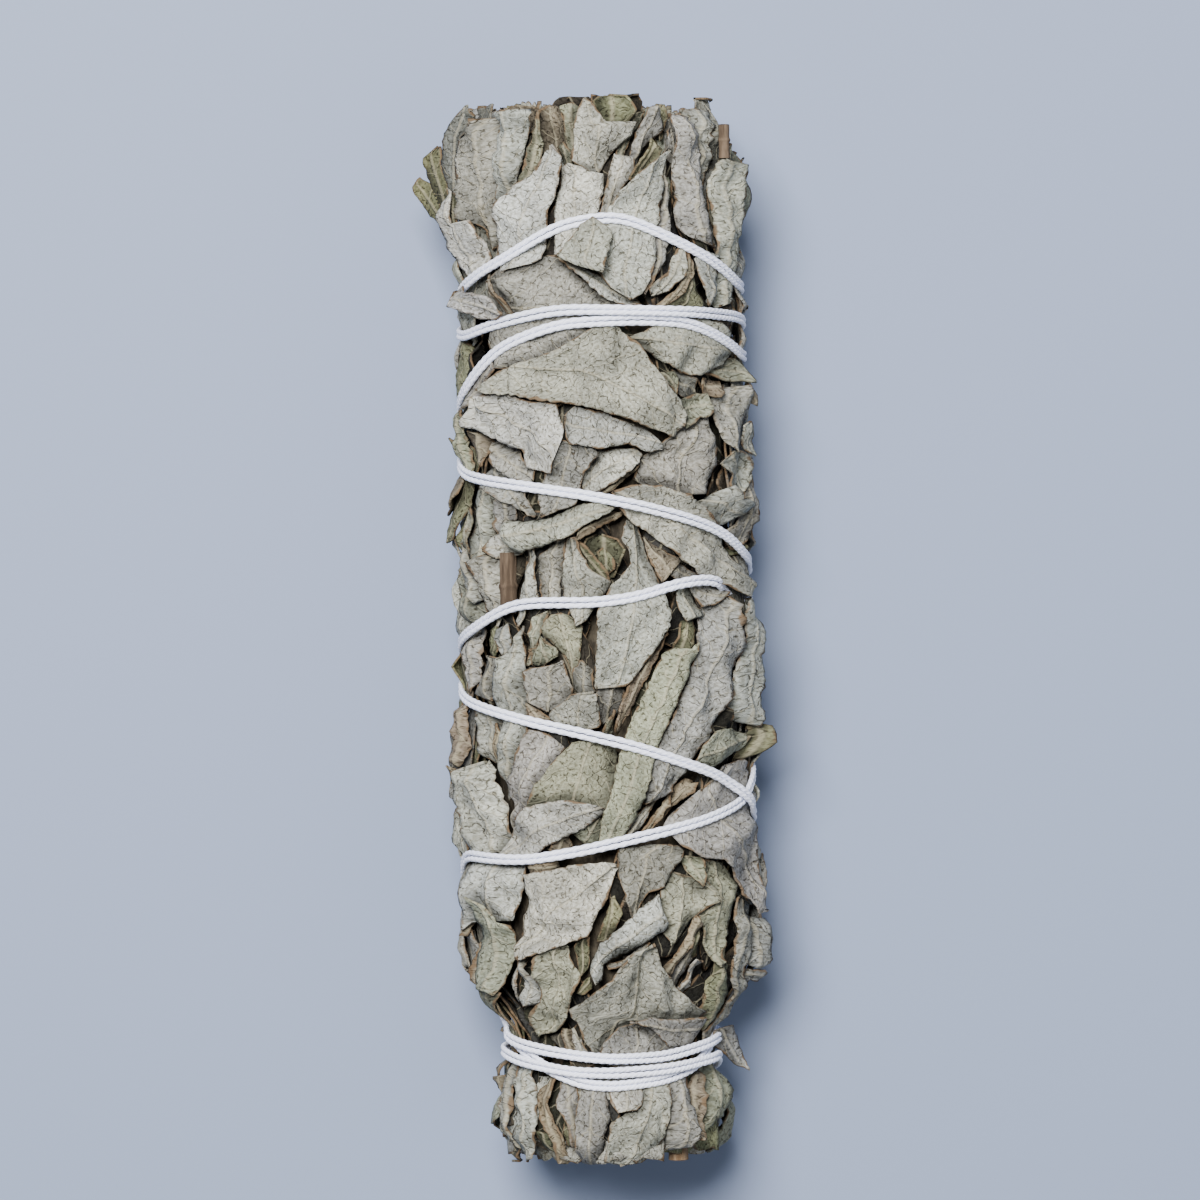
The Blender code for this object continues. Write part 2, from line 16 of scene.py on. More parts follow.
import bmesh
import bpy
import numpy as np
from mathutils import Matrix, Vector

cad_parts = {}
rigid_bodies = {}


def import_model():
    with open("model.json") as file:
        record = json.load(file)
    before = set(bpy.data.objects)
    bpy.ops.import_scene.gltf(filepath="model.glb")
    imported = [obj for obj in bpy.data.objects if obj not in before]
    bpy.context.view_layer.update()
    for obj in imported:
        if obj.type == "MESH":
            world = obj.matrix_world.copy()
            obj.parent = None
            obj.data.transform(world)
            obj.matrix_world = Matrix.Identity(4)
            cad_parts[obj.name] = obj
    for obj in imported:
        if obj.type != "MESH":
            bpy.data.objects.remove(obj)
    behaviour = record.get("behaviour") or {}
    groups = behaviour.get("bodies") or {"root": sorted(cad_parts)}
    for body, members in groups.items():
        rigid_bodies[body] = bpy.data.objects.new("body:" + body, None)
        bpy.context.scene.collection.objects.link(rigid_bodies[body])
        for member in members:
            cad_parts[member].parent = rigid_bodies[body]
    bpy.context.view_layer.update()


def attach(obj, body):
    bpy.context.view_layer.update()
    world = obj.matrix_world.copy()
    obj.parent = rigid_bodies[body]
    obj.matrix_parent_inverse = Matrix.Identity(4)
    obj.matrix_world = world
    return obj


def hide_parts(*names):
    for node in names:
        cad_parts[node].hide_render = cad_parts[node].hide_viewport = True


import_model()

logging.basicConfig(level=logging.INFO, format="%(message)s")
log = logging.getLogger("sage_bunch")

MM = 0.001
Array = np.ndarray

# The bundle's own sizes, as in the CAD. PROFILE has y, half the width and half the height.
AXIS_HEIGHT = 13.45
ROLL_RADIUS = 13.0
CIRCLE = 2 * math.pi * ROLL_RADIUS
CENTRE_SHIFT = 1.226
PROFILE = (
    (-51.0, 10.6, 9.6),
    (-47.2, 11.3, 10.2),
    (-44.0, 9.7, 8.9),
    (-37.6, 9.7, 8.9),
    (-33.2, 13.0, 11.8),
    (-28.0, 13.9, 12.25),
    (0.0, 13.8, 12.25),
    (30.0, 13.5, 12.1),
    (44.0, 13.0, 11.6),
    (51.0, 11.8, 10.4),
)
END_REACH = 50.7
CORE_ENDS = (-48.0, 47.6)

# The stack of leaves over the core, and the grid of its heights
STACK_DEPTH = 3.0
PACKED_TOP = STACK_DEPTH - 2.0
LEAVES_TOP = STACK_DEPTH + 0.35
CELL = 0.4
MAP_START = -56.0
MAP_LENGTH = 112.0

# The thread, how it presses the leaves in and where it dips under them
THREAD_RADIUS = 0.25
THREAD_SPACING = 0.54
RING_SPACING = 0.2
TWIST_LENGTH = 1.9
PRESS_SLOPE = 0.75
PRESS_REACH = 5.0
TUCK_START = (11.2, 4.6)
TUCK_LENGTH = 7.0
TUCK_DEPTH = 1.1

# How a spot of the photograph is turned into the bundle's plan
ENLARGED = 4.0
PIXEL_SIZE = 0.0955
AXIS_COLUMN = 606.0
AXIS_ROW = 631.0
LEAN = 0.0148

# The leaves' thickness, their hang round the sides in radians, and the painted shade on leaves where
# later leaves cover them, on the packed leaves and at the stalk end
LEAF_THICKNESS = 0.2
ROLLED_THICKNESS = 0.4
LOWEST_POINT = 0.12
SIDE_ANGLE = 1.2
HANG_ANGLE = 1.75
HIDDEN_SHADE = 0.6
PACKED_SHADE = 0.24
STALK_END_SHADE = 0.88
STALK_END_START = -41.0
GRAIN_SHIFT = np.array([7.3, 3.1, 0.0])

# The leaves that no outline was read for: packed ones, those of the flanks and those of the ends
PACKED_LEAVES = 170
PACKED_REACH = 46.0
FLANK_LAYERS = 3
FLANK_ROWS = 15
FLANK_COLUMNS = 6
FLANK_START = 16.5
FLANK_WIDTH = 49.0
FLANK_REACH = 46.5
END_LEAVES = 88
END_ROLLS = 19
END_ROWS = 12
END_HALF_SIZE = 12.0


class Outline(Enum):
    """Kinds of leaf outline, from the whole blade to a torn scrap."""

    LANCE = "lance"
    OVAL = "oval"
    TIP = "tip"
    STRIP = "strip"
    CORNERS = "corners"


class Tint(Enum):
    """Leaf colours, as linear red, green and blue."""

    PALE = (0.385, 0.39, 0.355)
    LIGHT = (0.30, 0.304, 0.268)
    SAGE = (0.232, 0.24, 0.18)
    MAUVE = (0.235, 0.232, 0.21)
    OLIVE = (0.165, 0.168, 0.10)
    TAN = (0.19, 0.158, 0.112)
    DARK = (0.10, 0.093, 0.07)
    SLATE = (0.15, 0.15, 0.132)
    MOSS = (0.115, 0.115, 0.064)


@dataclass(frozen=True)
class Leaf:
    """One leaf or scrap of leaf.

    Attributes:
        x: Middle of the blade across the bundle, in its plan.
        y: Middle of the blade along the bundle.
        heading: Direction of the tip in degrees from +X.
        length: Length of the blade.
        width: Greatest width of the flat blade.
        outline: Kind of outline.
        tint: Colour of the blade.
        cup: Angle in degrees that the whole section turns, edges up when positive.
        left: Further angle at the left edge.
        right: Further angle at the right edge.
        flare: Height that the tip stands off the bundle.
        ragged: Depth of the tears at the ends and edges.
        over: True if the blade lies over the thread.
        wrapped: True if x is a distance round the bundle and not a plan position.
        bend: Sideways bow of the blade.
        corners: Outline along and across the blade, for a blade whose shape is its own.
    """

    x: float
    y: float
    heading: float
    length: float
    width: float
    outline: Outline
    tint: Tint
    cup: float = 0.0
    left: float = 0.0
    right: float = 0.0
    flare: float = 0.0
    ragged: float = 0.35
    over: bool = False
    wrapped: bool = False
    bend: float = 0.0
    corners: tuple[tuple[float, float], ...] = ()


@dataclass(frozen=True)
class View:
    """An enlargement of the photograph on which outlines were read.

    Attributes:
        left: Its left edge in the photograph's pixels.
        top: Its top edge in the photograph's pixels.
    """

    left: float
    top: float

    def plan(self, spot: tuple[float, float]) -> tuple[float, float]:
        """Returns where a spot of the enlargement lies in the bundle's plan, in millimetres."""
        column = self.left + spot[0] / ENLARGED
        row = self.top + spot[1] / ENLARGED
        y = (AXIS_ROW - row) * PIXEL_SIZE
        return (column - AXIS_COLUMN) * PIXEL_SIZE + LEAN * y, y


TOP_VIEW = View(400, 85)
UPPER_VIEW = View(400, 365)
LOWER_VIEW = View(400, 645)
BOTTOM_VIEW = View(400, 785)


def cut(view: View, corners: tuple, heading: float, tint: Tint, cup: float = -22, **more) -> Leaf:
    """Returns a leaf of its own outline.

    Args:
        view: Enlargement on which the corners were read.
        corners: Outline, in order.
        heading: Direction of the tip in degrees.
        tint: Colour of the blade.
        cup: Angle that the whole section turns.
        more: Any other field of the leaf.
    """
    along = (math.cos(math.radians(heading)), math.sin(math.radians(heading)))
    spots = [view.plan(corner) for corner in corners]
    ahead = [x * along[0] + y * along[1] for x, y in spots]
    side = [y * along[0] - x * along[1] for x, y in spots]
    a = (min(ahead) + max(ahead)) / 2
    b = (min(side) + max(side)) / 2
    return Leaf(
        a * along[0] - b * along[1],
        a * along[1] + b * along[0],
        heading,
        max(ahead) - min(ahead),
        max(side) - min(side),
        Outline.CORNERS,
        tint,
        cup=cup,
        corners=tuple((i - a, j - b) for i, j in zip(ahead, side)),
        **more,
    )


LANCE, OVAL, TIP, STRIP = Outline.LANCE, Outline.OVAL, Outline.TIP, Outline.STRIP
PALE, LIGHT, SAGE, MAUVE = Tint.PALE, Tint.LIGHT, Tint.SAGE, Tint.MAUVE
OLIVE, TAN, DARK, SLATE, MOSS = Tint.OLIVE, Tint.TAN, Tint.DARK, Tint.SLATE, Tint.MOSS

# Leaves of the side seen from above, the innermost first in each stretch. A row is the outline, the
# heading of the tip in degrees, the tint, the cup and any other field of the leaf.
TOP_END = tuple(
    cut(TOP_VIEW, *row[:-1], **row[-1])
    for row in (
        (((180, 400), (236, 430), (250, 560), (225, 650), (190, 600), (172, 500)), 95, OLIVE, -20,
         {"flare": 1.0}),
        (((262, 62), (305, 100), (285, 150), (240, 190), (250, 330), (235, 430), (190, 400),
         (160, 300), (165, 180), (195, 125)), 84, SLATE, -20, {"flare": 1.0}),
        (((75, 265), (105, 235), (155, 215), (160, 300), (190, 400), (185, 490), (150, 470),
         (115, 370)), 108, MOSS, 40, {"flare": 4.0}),
        (((32, 365), (65, 335), (115, 370), (175, 500), (185, 570), (110, 490), (50, 400)),
         124, MOSS, 40, {"flare": 5.0}),
        (((228, 210), (300, 120), (360, 120), (372, 290), (390, 400), (375, 620), (330, 660),
         (320, 560), (245, 520), (240, 290)), 92, MAUVE, -70, {}),
        (((370, 100), (400, 80), (480, 85), (540, 105), (540, 200), (375, 200)), 90, TAN, 20, {}),
        (((555, 120), (610, 98), (645, 100), (670, 160), (665, 280), (600, 300), (520, 300),
         (540, 180)), 90, TAN, 60, {}),
        (((655, 100), (690, 85), (725, 100), (715, 180), (695, 340), (660, 300), (668, 140)),
         88, SAGE, 100, {}),
        (((545, 180), (570, 120), (572, 150), (535, 290), (500, 380), (455, 400), (490, 260)),
         72, SAGE, 110, {}),
        (((368, 105), (540, 110), (555, 130), (500, 230), (460, 400), (455, 580), (395, 580),
         (385, 300)), 88, LIGHT, -150, {}),
        (((615, 260), (650, 245), (680, 290), (675, 350), (630, 340)), 90, SAGE, -20, {}),
        (((925, 125), (985, 125), (960, 200), (900, 310), (870, 300)), 72, SAGE, 60, {}),
        (((775, 80), (830, 52), (890, 65), (925, 110), (915, 200), (860, 260), (800, 200), (785, 110)),
         90, OLIVE, 190, {}),
        (((1030, 95), (1085, 92), (1100, 140), (1085, 240), (1040, 160)), 92, OLIVE, 40, {}),
        (((985, 110), (1030, 100), (1065, 150), (1080, 200), (1010, 250), (930, 400), (890, 420),
         (940, 260)), 74, MAUVE, -60, {}),
        (((745, 75), (770, 90), (820, 160), (875, 200), (950, 155), (930, 220), (870, 270), (790, 370),
         (735, 350), (685, 320), (700, 200), (720, 110)), 97, LIGHT, -60, {}),
        (((1160, 110), (1205, 130), (1250, 150), (1265, 105), (1272, 300), (1268, 440), (1215, 330),
         (1180, 200)), 92, LIGHT, -80, {}),
        (((860, 290), (945, 310), (940, 370), (880, 450), (840, 540), (800, 540), (815, 450)),
         76, LIGHT, -50, {}),
        (((1075, 200), (1105, 190), (1112, 400), (1100, 620), (1050, 740), (975, 855), (1010, 700),
         (1060, 500)), 80, LIGHT, -130, {}),
        (((1090, 140), (1110, 130), (1160, 130), (1195, 190), (1230, 330), (1265, 450), (1280, 560),
         (1280, 660), (1170, 620), (1105, 540), (1140, 470), (1120, 380), (1105, 260)),
         96, MAUVE, -110, {}),
        (((1355, 310), (1380, 335), (1380, 450), (1368, 600), (1355, 500)), 90, TAN, -40, {}),
        (((1275, 310), (1355, 320), (1375, 360), (1372, 500), (1362, 700), (1350, 880), (1300, 900),
         (1285, 700), (1290, 560), (1270, 420)), 92, LIGHT, -80, {}),
        (((1170, 700), (1200, 800), (1230, 910), (1060, 905), (1120, 840)), 80, OLIVE, -20, {}),
        (((1165, 680), (1178, 720), (1125, 850), (1080, 895), (1030, 900), (1100, 830)), 62, TAN, 70, {}),
        (((1140, 630), (1168, 650), (1130, 760), (1060, 845), (1000, 860), (985, 830), (1060, 770)),
         58, LIGHT, 60, {}),
        (((1190, 700), (1240, 672), (1288, 690), (1288, 800), (1272, 905), (1245, 895), (1205, 820)),
         268, LIGHT, -120, {}),
        (((630, 340), (665, 325), (720, 335), (760, 362), (820, 360), (815, 440), (790, 540),
         (770, 640), (700, 705), (615, 700), (612, 500), (620, 420)), 90, PALE, -90, {}),
        (((1020, 232), (1055, 270), (1055, 320), (990, 370), (920, 400), (945, 350), (1000, 290)),
         58, OLIVE, 90, {}),
        (((600, 256), (642, 300), (620, 400), (580, 520), (560, 710), (400, 750), (375, 660),
         (370, 540), (385, 480), (460, 410), (520, 350)), 72, PALE, -50, {"left": 20}),
        (((1075, 283), (1078, 310), (1060, 420), (1040, 560), (1010, 720), (965, 850), (930, 875),
         (850, 830), (780, 740), (815, 560), (870, 455), (950, 372), (1030, 312)), 78, LIGHT, -34, {}),
        (((205, 400), (225, 430), (225, 530), (245, 575), (262, 545), (320, 535), (332, 620),
         (325, 700), (290, 770), (250, 775), (215, 680), (165, 520), (175, 480)), 100, PALE, -70, {}),
    )
)
UPPER = tuple(
    cut(TOP_VIEW, *row[:-1], **row[-1])
    for row in (
        (((275, 1375), (320, 1390), (330, 1450), (310, 1520), (275, 1500)), 268, TAN, -60, {}),
        (((345, 1090), (385, 1130), (310, 1215), (300, 1260), (240, 1312), (245, 1230), (290, 1140)),
         232, MAUVE, -50, {}),
        (((240, 1300), (275, 1290), (278, 1360), (265, 1440), (270, 1540), (205, 1530), (225, 1430)),
         266, SAGE, -90, {}),
        (((330, 1420), (380, 1440), (440, 1450), (480, 1500), (545, 1545), (520, 1600), (420, 1570),
         (350, 1500)), -30, MAUVE, -20, {}),
        (((610, 1480), (640, 1420), (760, 1440), (800, 1480), (735, 1560), (700, 1680), (560, 1720),
         (540, 1640)), 262, MAUVE, -20, {}),
        (((400, 700), (480, 695), (600, 690), (640, 700), (700, 770), (870, 880), (900, 960),
         (780, 985), (680, 1045), (560, 1105), (430, 1142), (378, 1130), (350, 1060), (350, 930),
         (340, 780)), -10, MAUVE, -22, {}),
        (((360, 775), (385, 800), (445, 920), (425, 928), (370, 830)), -62, TAN, -40, {}),
        (((630, 698), (680, 712), (760, 755), (860, 800), (950, 850), (978, 885), (900, 895),
         (830, 872), (740, 792), (665, 732)), -28, LIGHT, -60, {}),
        (((1400, 1150), (1425, 1210), (1452, 1240), (1445, 1290), (1400, 1280)),
         -60, TAN, -40, {}),
        (((1265, 1250), (1330, 1215), (1392, 1200), (1397, 1290), (1378, 1400), (1340, 1475),
         (1295, 1440), (1265, 1340)), 265, MAUVE, -60, {}),
        (((1375, 1370), (1420, 1350), (1447, 1390), (1445, 1485), (1410, 1475), (1380, 1440)),
         270, LIGHT, -60, {}),
        (((1230, 1185), (1320, 1190), (1315, 1235), (1270, 1260), (1240, 1235)), 0, TAN, 80, {}),
        (((1110, 1150), (1210, 1180), (1235, 1260), (1150, 1260), (1110, 1220)), -10, MAUVE, -40, {}),
        (((1045, 1160), (1110, 1155), (1125, 1200), (1112, 1260), (1075, 1205)), -50, SAGE, -30, {}),
        (((1250, 1155), (1340, 1095), (1392, 1100), (1400, 1192), (1330, 1190)), -8, SAGE, 40, {}),
        (((1105, 1280), (1190, 1248), (1258, 1245), (1268, 1290), (1240, 1332), (1190, 1338),
         (1120, 1392), (1128, 1320)), 4, SAGE, 40, {}),
        (((930, 1020), (1010, 985), (1080, 968), (1160, 942), (1230, 950), (1300, 960), (1340, 1010),
         (1367, 1080), (1320, 1122), (1230, 1172), (1130, 1165), (1030, 1100), (970, 1060)),
         -8, LIGHT, -24, {}),
        (((650, 1330), (690, 1290), (820, 1315), (870, 1340), (1000, 1380), (1062, 1465), (1000, 1482),
         (930, 1445), (800, 1462), (680, 1440)), -8, LIGHT, 24, {"right": -40}),
        (((300, 1238), (430, 1238), (500, 1265), (640, 1280), (642, 1340), (667, 1370), (660, 1420),
         (620, 1480), (605, 1558), (560, 1545), (510, 1530), (482, 1460), (440, 1450), (330, 1392),
         (272, 1350)), -34, PALE, -20, {}),
        (((320, 1215), (400, 1150), (520, 1100), (590, 1083), (680, 1035), (800, 963), (870, 975),
         (960, 1055), (1050, 1180), (1110, 1270), (1132, 1340), (1098, 1418), (1000, 1382),
         (880, 1332), (730, 1292), (600, 1267), (450, 1240), (370, 1235)), -25, LIGHT, -24, {}),
        (((255, 780), (290, 825), (340, 830), (390, 850), (425, 920), (400, 942), (340, 930),
         (260, 880), (225, 870), (235, 810)), -26, PALE, 30, {"over": True}),
        (((770, 545), (800, 560), (847, 605), (835, 680), (815, 768), (730, 745), (638, 700),
         (680, 640), (730, 570)), 82, LIGHT, -24, {"over": True}),
    )
)
MIDDLE = tuple(
    cut(UPPER_VIEW, *row[:-1], **row[-1])
    for row in (
        (((1425, 700), (1452, 750), (1370, 767), (1360, 750), (1410, 725)),
         -50, OLIVE, -20, {}),
        (((1390, 520), (1440, 450), (1464, 520), (1452, 620), (1420, 720), (1370, 742), (1330, 680),
         (1390, 600)), 268, MAUVE, -60, {}),
        (((1275, 395), (1340, 350), (1390, 358), (1427, 400), (1425, 460), (1380, 520), (1335, 540),
         (1310, 480), (1335, 450)), -60, LIGHT, 70, {}),
        (((1200, 560), (1260, 518), (1320, 488), (1345, 540), (1392, 560), (1362, 612), (1300, 655),
         (1235, 622)), -30, LIGHT, -40, {"ragged": 0.7}),
        (((940, 470), (970, 380), (1060, 330), (1100, 290), (1140, 240), (1215, 213), (1255, 210),
         (1287, 300), (1272, 400), (1230, 500), (1200, 540), (1100, 525), (1000, 495)),
         80, MAUVE, -24, {}),
        (((800, 512), (870, 470), (955, 405), (945, 435), (860, 505), (820, 525)), 36, TAN, -50, {}),
        (((735, 420), (770, 350), (860, 343), (960, 337), (977, 365), (950, 402), (905, 442),
         (850, 480), (790, 517), (718, 508)), 30, PALE, -30, {}),
        (((310, 480), (370, 500), (392, 540), (350, 620), (325, 755), (285, 792), (268, 740),
         (253, 700), (263, 600), (290, 520)), 264, LIGHT, -70, {}),
        (((385, 530), (450, 560), (440, 620), (410, 650), (400, 710), (360, 700), (345, 640)),
         258, MAUVE, -20, {}),
        (((335, 348), (400, 400), (455, 425), (480, 500), (532, 600), (515, 602), (450, 562),
         (390, 530), (300, 480), (320, 420)), -58, MAUVE, -24, {}),
        (((265, 560), (278, 580), (257, 690), (247, 800), (262, 900), (300, 945), (328, 950),
         (322, 990), (290, 1032), (238, 1032), (208, 990), (200, 880), (193, 790), (213, 720),
         (238, 620)), 270, SAGE, -80, {}),
        (((245, 700), (278, 740), (302, 800), (327, 870), (325, 938), (300, 947), (262, 920),
         (250, 850)), 275, LIGHT, -120, {}),
        (((295, 780), (345, 748), (387, 770), (392, 850), (397, 960), (370, 1040), (335, 980),
         (325, 870), (300, 820)), 272, MAUVE, -80, {}),
        (((655, 683), (652, 760), (632, 870), (642, 940), (558, 950), (542, 860), (538, 760),
         (590, 730), (620, 690)), 84, MAUVE, -30, {}),
        (((500, 698), (525, 700), (542, 780), (537, 840), (555, 928), (500, 950), (478, 1035),
         (445, 1020), (475, 880), (490, 800)), 268, LIGHT, -70, {}),
        (((740, 705), (790, 683), (860, 690), (892, 740), (872, 800), (850, 850), (790, 830),
         (745, 770)), 268, OLIVE, 210, {}),
        (((790, 750), (820, 735), (852, 760), (857, 820), (820, 850), (795, 800)), 268, OLIVE, -40, {}),
        (((715, 700), (760, 745), (825, 825), (845, 872), (800, 865), (740, 805), (712, 745)),
         -52, OLIVE, 60, {}),
        (((670, 693), (710, 690), (732, 760), (775, 830), (845, 866), (840, 895), (780, 970),
         (740, 1025), (705, 1042), (678, 980), (648, 920), (640, 860), (655, 760)), 276, LIGHT, -36, {}),
        (((1120, 780), (1200, 830), (1252, 850), (1240, 880), (1130, 870), (1095, 845)),
         -20, MAUVE, -20, {}),
        (((920, 622), (977, 640), (992, 690), (1012, 780), (1042, 860), (1092, 985), (1087, 1050),
         (1042, 1120), (980, 1205), (920, 1275), (780, 1282), (783, 1150), (790, 980), (850, 880),
         (932, 800), (925, 745), (888, 700), (900, 650)), 264, LIGHT, -24, {}),
        (((988, 690), (1060, 738), (1142, 780), (1100, 832), (1055, 875), (1038, 850), (1018, 800),
         (998, 760)), -52, TAN, -20, {}),
        (((715, 640), (750, 598), (830, 588), (905, 588), (905, 610), (820, 642), (740, 692),
         (718, 700)), 24, TAN, -70, {}),
        (((340, 680), (410, 660), (430, 700), (482, 720), (462, 758), (380, 768), (338, 730)),
         190, LIGHT, -20, {"ragged": 0.9}),
        (((420, 618), (520, 623), (600, 608), (720, 555), (850, 540), (880, 560), (830, 600),
         (740, 640), (680, 692), (560, 733), (480, 752), (436, 720), (412, 660)), 14, LIGHT, -150, {}),
        (((1130, 880), (1182, 885), (1227, 930), (1227, 1015), (1150, 1032), (1128, 980)),
         275, LIGHT, -70, {}),
        (((1182, 875), (1262, 880), (1335, 915), (1285, 965), (1225, 975)), -20, MAUVE, -20, {}),
        (((850, 512), (930, 488), (1050, 493), (1150, 528), (1235, 590), (1295, 655), (1350, 760),
         (1362, 805), (1400, 822), (1447, 900), (1440, 937), (1380, 937), (1290, 875), (1200, 843),
         (1120, 772), (1030, 692), (950, 642), (888, 590)), -33, LIGHT, -26, {}),
    )
)
LOWER_LEFT = tuple(
    cut(LOWER_VIEW, *row[:-1], **row[-1])
    for row in (
        (((300, -80), (352, -85), (368, -20), (350, 40), (300, 40)), 272, OLIVE, -20, {}),
        (((300, 35), (387, 40), (385, 110), (390, 170), (365, 215), (285, 190), (300, 95)),
         275, SLATE, -30, {}),
        (((360, -85), (412, -90), (422, -30), (417, 45), (390, 42), (368, -20)),
         272, LIGHT, -30, {"ragged": 0.8}),
        (((235, 100), (248, 200), (237, 330), (252, 400), (232, 485), (198, 480), (193, 380),
         (197, 270), (222, 180)), 268, TAN, -130, {}),
        (((193, 480), (228, 490), (237, 560), (205, 560)), 272, TAN, -20, {}),
        (((265, -80), (302, -80), (280, -20), (297, 60), (287, 140), (250, 185), (233, 90), (213, -10),
         (228, -50)), 272, LIGHT, -70, {}),
        (((290, 225), (347, 245), (367, 350), (382, 420), (380, 480), (320, 462), (290, 430),
         (262, 360)), 276, LIGHT, -40, {}),
        (((350, 300), (385, 370), (395, 500), (375, 470), (345, 400)), 276, TAN, -60, {}),
        (((520, -120), (585, -135), (560, -60), (512, 70), (488, 80), (500, -20)), 258, SAGE, 60, {}),
        (((520, 10), (572, 0), (562, 70), (525, 75)), 268, SAGE, -20, {}),
        (((490, -85), (497, 50), (507, 170), (497, 330), (452, 470), (422, 580), (393, 612),
         (383, 450), (378, 250), (383, 120), (395, 50), (440, 15)), 265, LIGHT, -90, {}),
        (((600, -130), (660, -135), (690, -110), (727, -80), (717, 30), (702, 100), (680, 112),
         (640, 32), (570, -40), (568, -80)), 276, SAGE, -20, {}),
        (((570, -40), (642, 32), (560, 82), (535, 72)), -70, SAGE, -20, {}),
        (((690, 185), (688, 100), (720, 58), (772, 90), (777, 165), (795, 195), (730, 195)),
         85, SLATE, -20, {"ragged": 0.6}),
        (((505, 225), (560, 265), (600, 290), (600, 330), (510, 320)), -60, TAN, -20, {}),
        (((790, 165), (907, 153), (897, 230), (862, 295), (810, 315), (785, 260)), 80, MAUVE, -20, {}),
        (((500, 98), (650, 63), (667, 120), (692, 182), (642, 232), (590, 262), (520, 225),
         (503, 160)), 85, MAUVE, -26, {}),
        (((690, 183), (790, 188), (797, 260), (803, 312), (782, 340), (700, 335), (600, 300),
         (590, 262), (650, 222)), 84, MAUVE, -24, {}),
        (((800, 350), (865, 262), (858, 350), (812, 385)), 60, SAGE, -30, {}),
        (((600, 770), (650, 748), (682, 790), (650, 830), (590, 830)), 80, TAN, -60, {}),
        (((680, 745), (720, 715), (812, 662), (802, 800), (740, 800)), 60, SAGE, -20, {}),
        (((515, 320), (580, 340), (667, 390), (642, 440), (562, 560), (532, 625), (470, 685),
         (412, 745), (417, 600), (448, 480)), 244, MAUVE, -24, {}),
        (((690, 378), (800, 365), (882, 408), (867, 520), (832, 645), (810, 655), (720, 640),
         (515, 650), (560, 550), (620, 460)), 262, SAGE, -18, {}),
        (((225, 500), (332, 458), (347, 510), (387, 590), (392, 690), (407, 750), (392, 800),
         (275, 850), (243, 700), (218, 620)), 282, PALE, -40, {}),
        (((812, 638), (832, 655), (740, 722), (650, 762), (560, 812), (500, 850), (350, 860),
         (430, 738), (520, 638), (600, 618), (680, 612), (750, 622)), 24, LIGHT, -34, {}),
    )
)
LOWER_RIGHT = tuple(
    cut(LOWER_VIEW, *row[:-1], **row[-1])
    for row in (
        (((1465, 560), (1492, 640), (1470, 695), (1450, 640)), 272, TAN, -20, {}),
        (((1435, 318), (1477, 330), (1472, 430), (1440, 475), (1428, 400)),
         272, OLIVE, -20, {}),
        (((1000, 640), (1062, 598), (985, 720), (900, 780), (935, 690)), 46, LIGHT, -60, {}),
        (((1110, 588), (1150, 558), (1200, 532), (1227, 550), (1217, 590), (1130, 642), (1060, 700)),
         34, TAN, 50, {"ragged": 0.9}),
        (((1060, 640), (1100, 588), (1095, 625), (1015, 745), (960, 765)), 54, TAN, 60, {}),
        (((1355, -180), (1440, -185), (1447, -110), (1437, 0), (1452, 170), (1440, 340), (1350, 300),
         (1352, 130), (1368, -20), (1350, -120)), 270, LIGHT, -90, {}),
        (((1070, -70), (1090, -60), (1045, 50), (962, 190), (905, 300), (882, 360), (860, 350),
         (878, 280), (903, 190), (960, 100), (1020, 20)), 62, TAN, 60, {}),
        (((1140, -90), (1202, -100), (1197, -40), (1187, 10), (1150, 45), (1113, 10), (1128, -40)),
         262, OLIVE, 110, {}),
        (((1300, -208), (1337, -190), (1348, -80), (1368, 20), (1342, 100), (1312, 220), (1262, 330),
         (1202, 430), (1152, 530), (1100, 582), (985, 632), (972, 600), (1005, 480), (1048, 380),
         (1128, 220), (1190, 80), (1200, -40), (1230, -130)), 65, MAUVE, -34, {}),
        (((1110, 15), (1150, 38), (1187, -5), (1192, 40), (1142, 160), (1062, 330), (1022, 450),
         (982, 590), (952, 680), (880, 780), (795, 810), (805, 700), (850, 560), (880, 430),
         (928, 300), (1000, 150), (1060, 35)), 68, SAGE, -80, {}),
        (((1200, 400), (1262, 343), (1350, 338), (1418, 370), (1412, 430), (1340, 470), (1280, 510),
         (1188, 475)), 16, SAGE, -90, {}),
        (((1420, 463), (1462, 480), (1472, 620), (1474, 790), (1462, 900), (1457, 1080), (1410, 1092),
         (1398, 1030), (1370, 1012), (1363, 970), (1328, 910), (1270, 857), (1205, 850), (1130, 802),
         (1058, 712), (1130, 650), (1205, 618), (1270, 568), (1340, 488)), 302, MAUVE, -26, {}),
    )
)
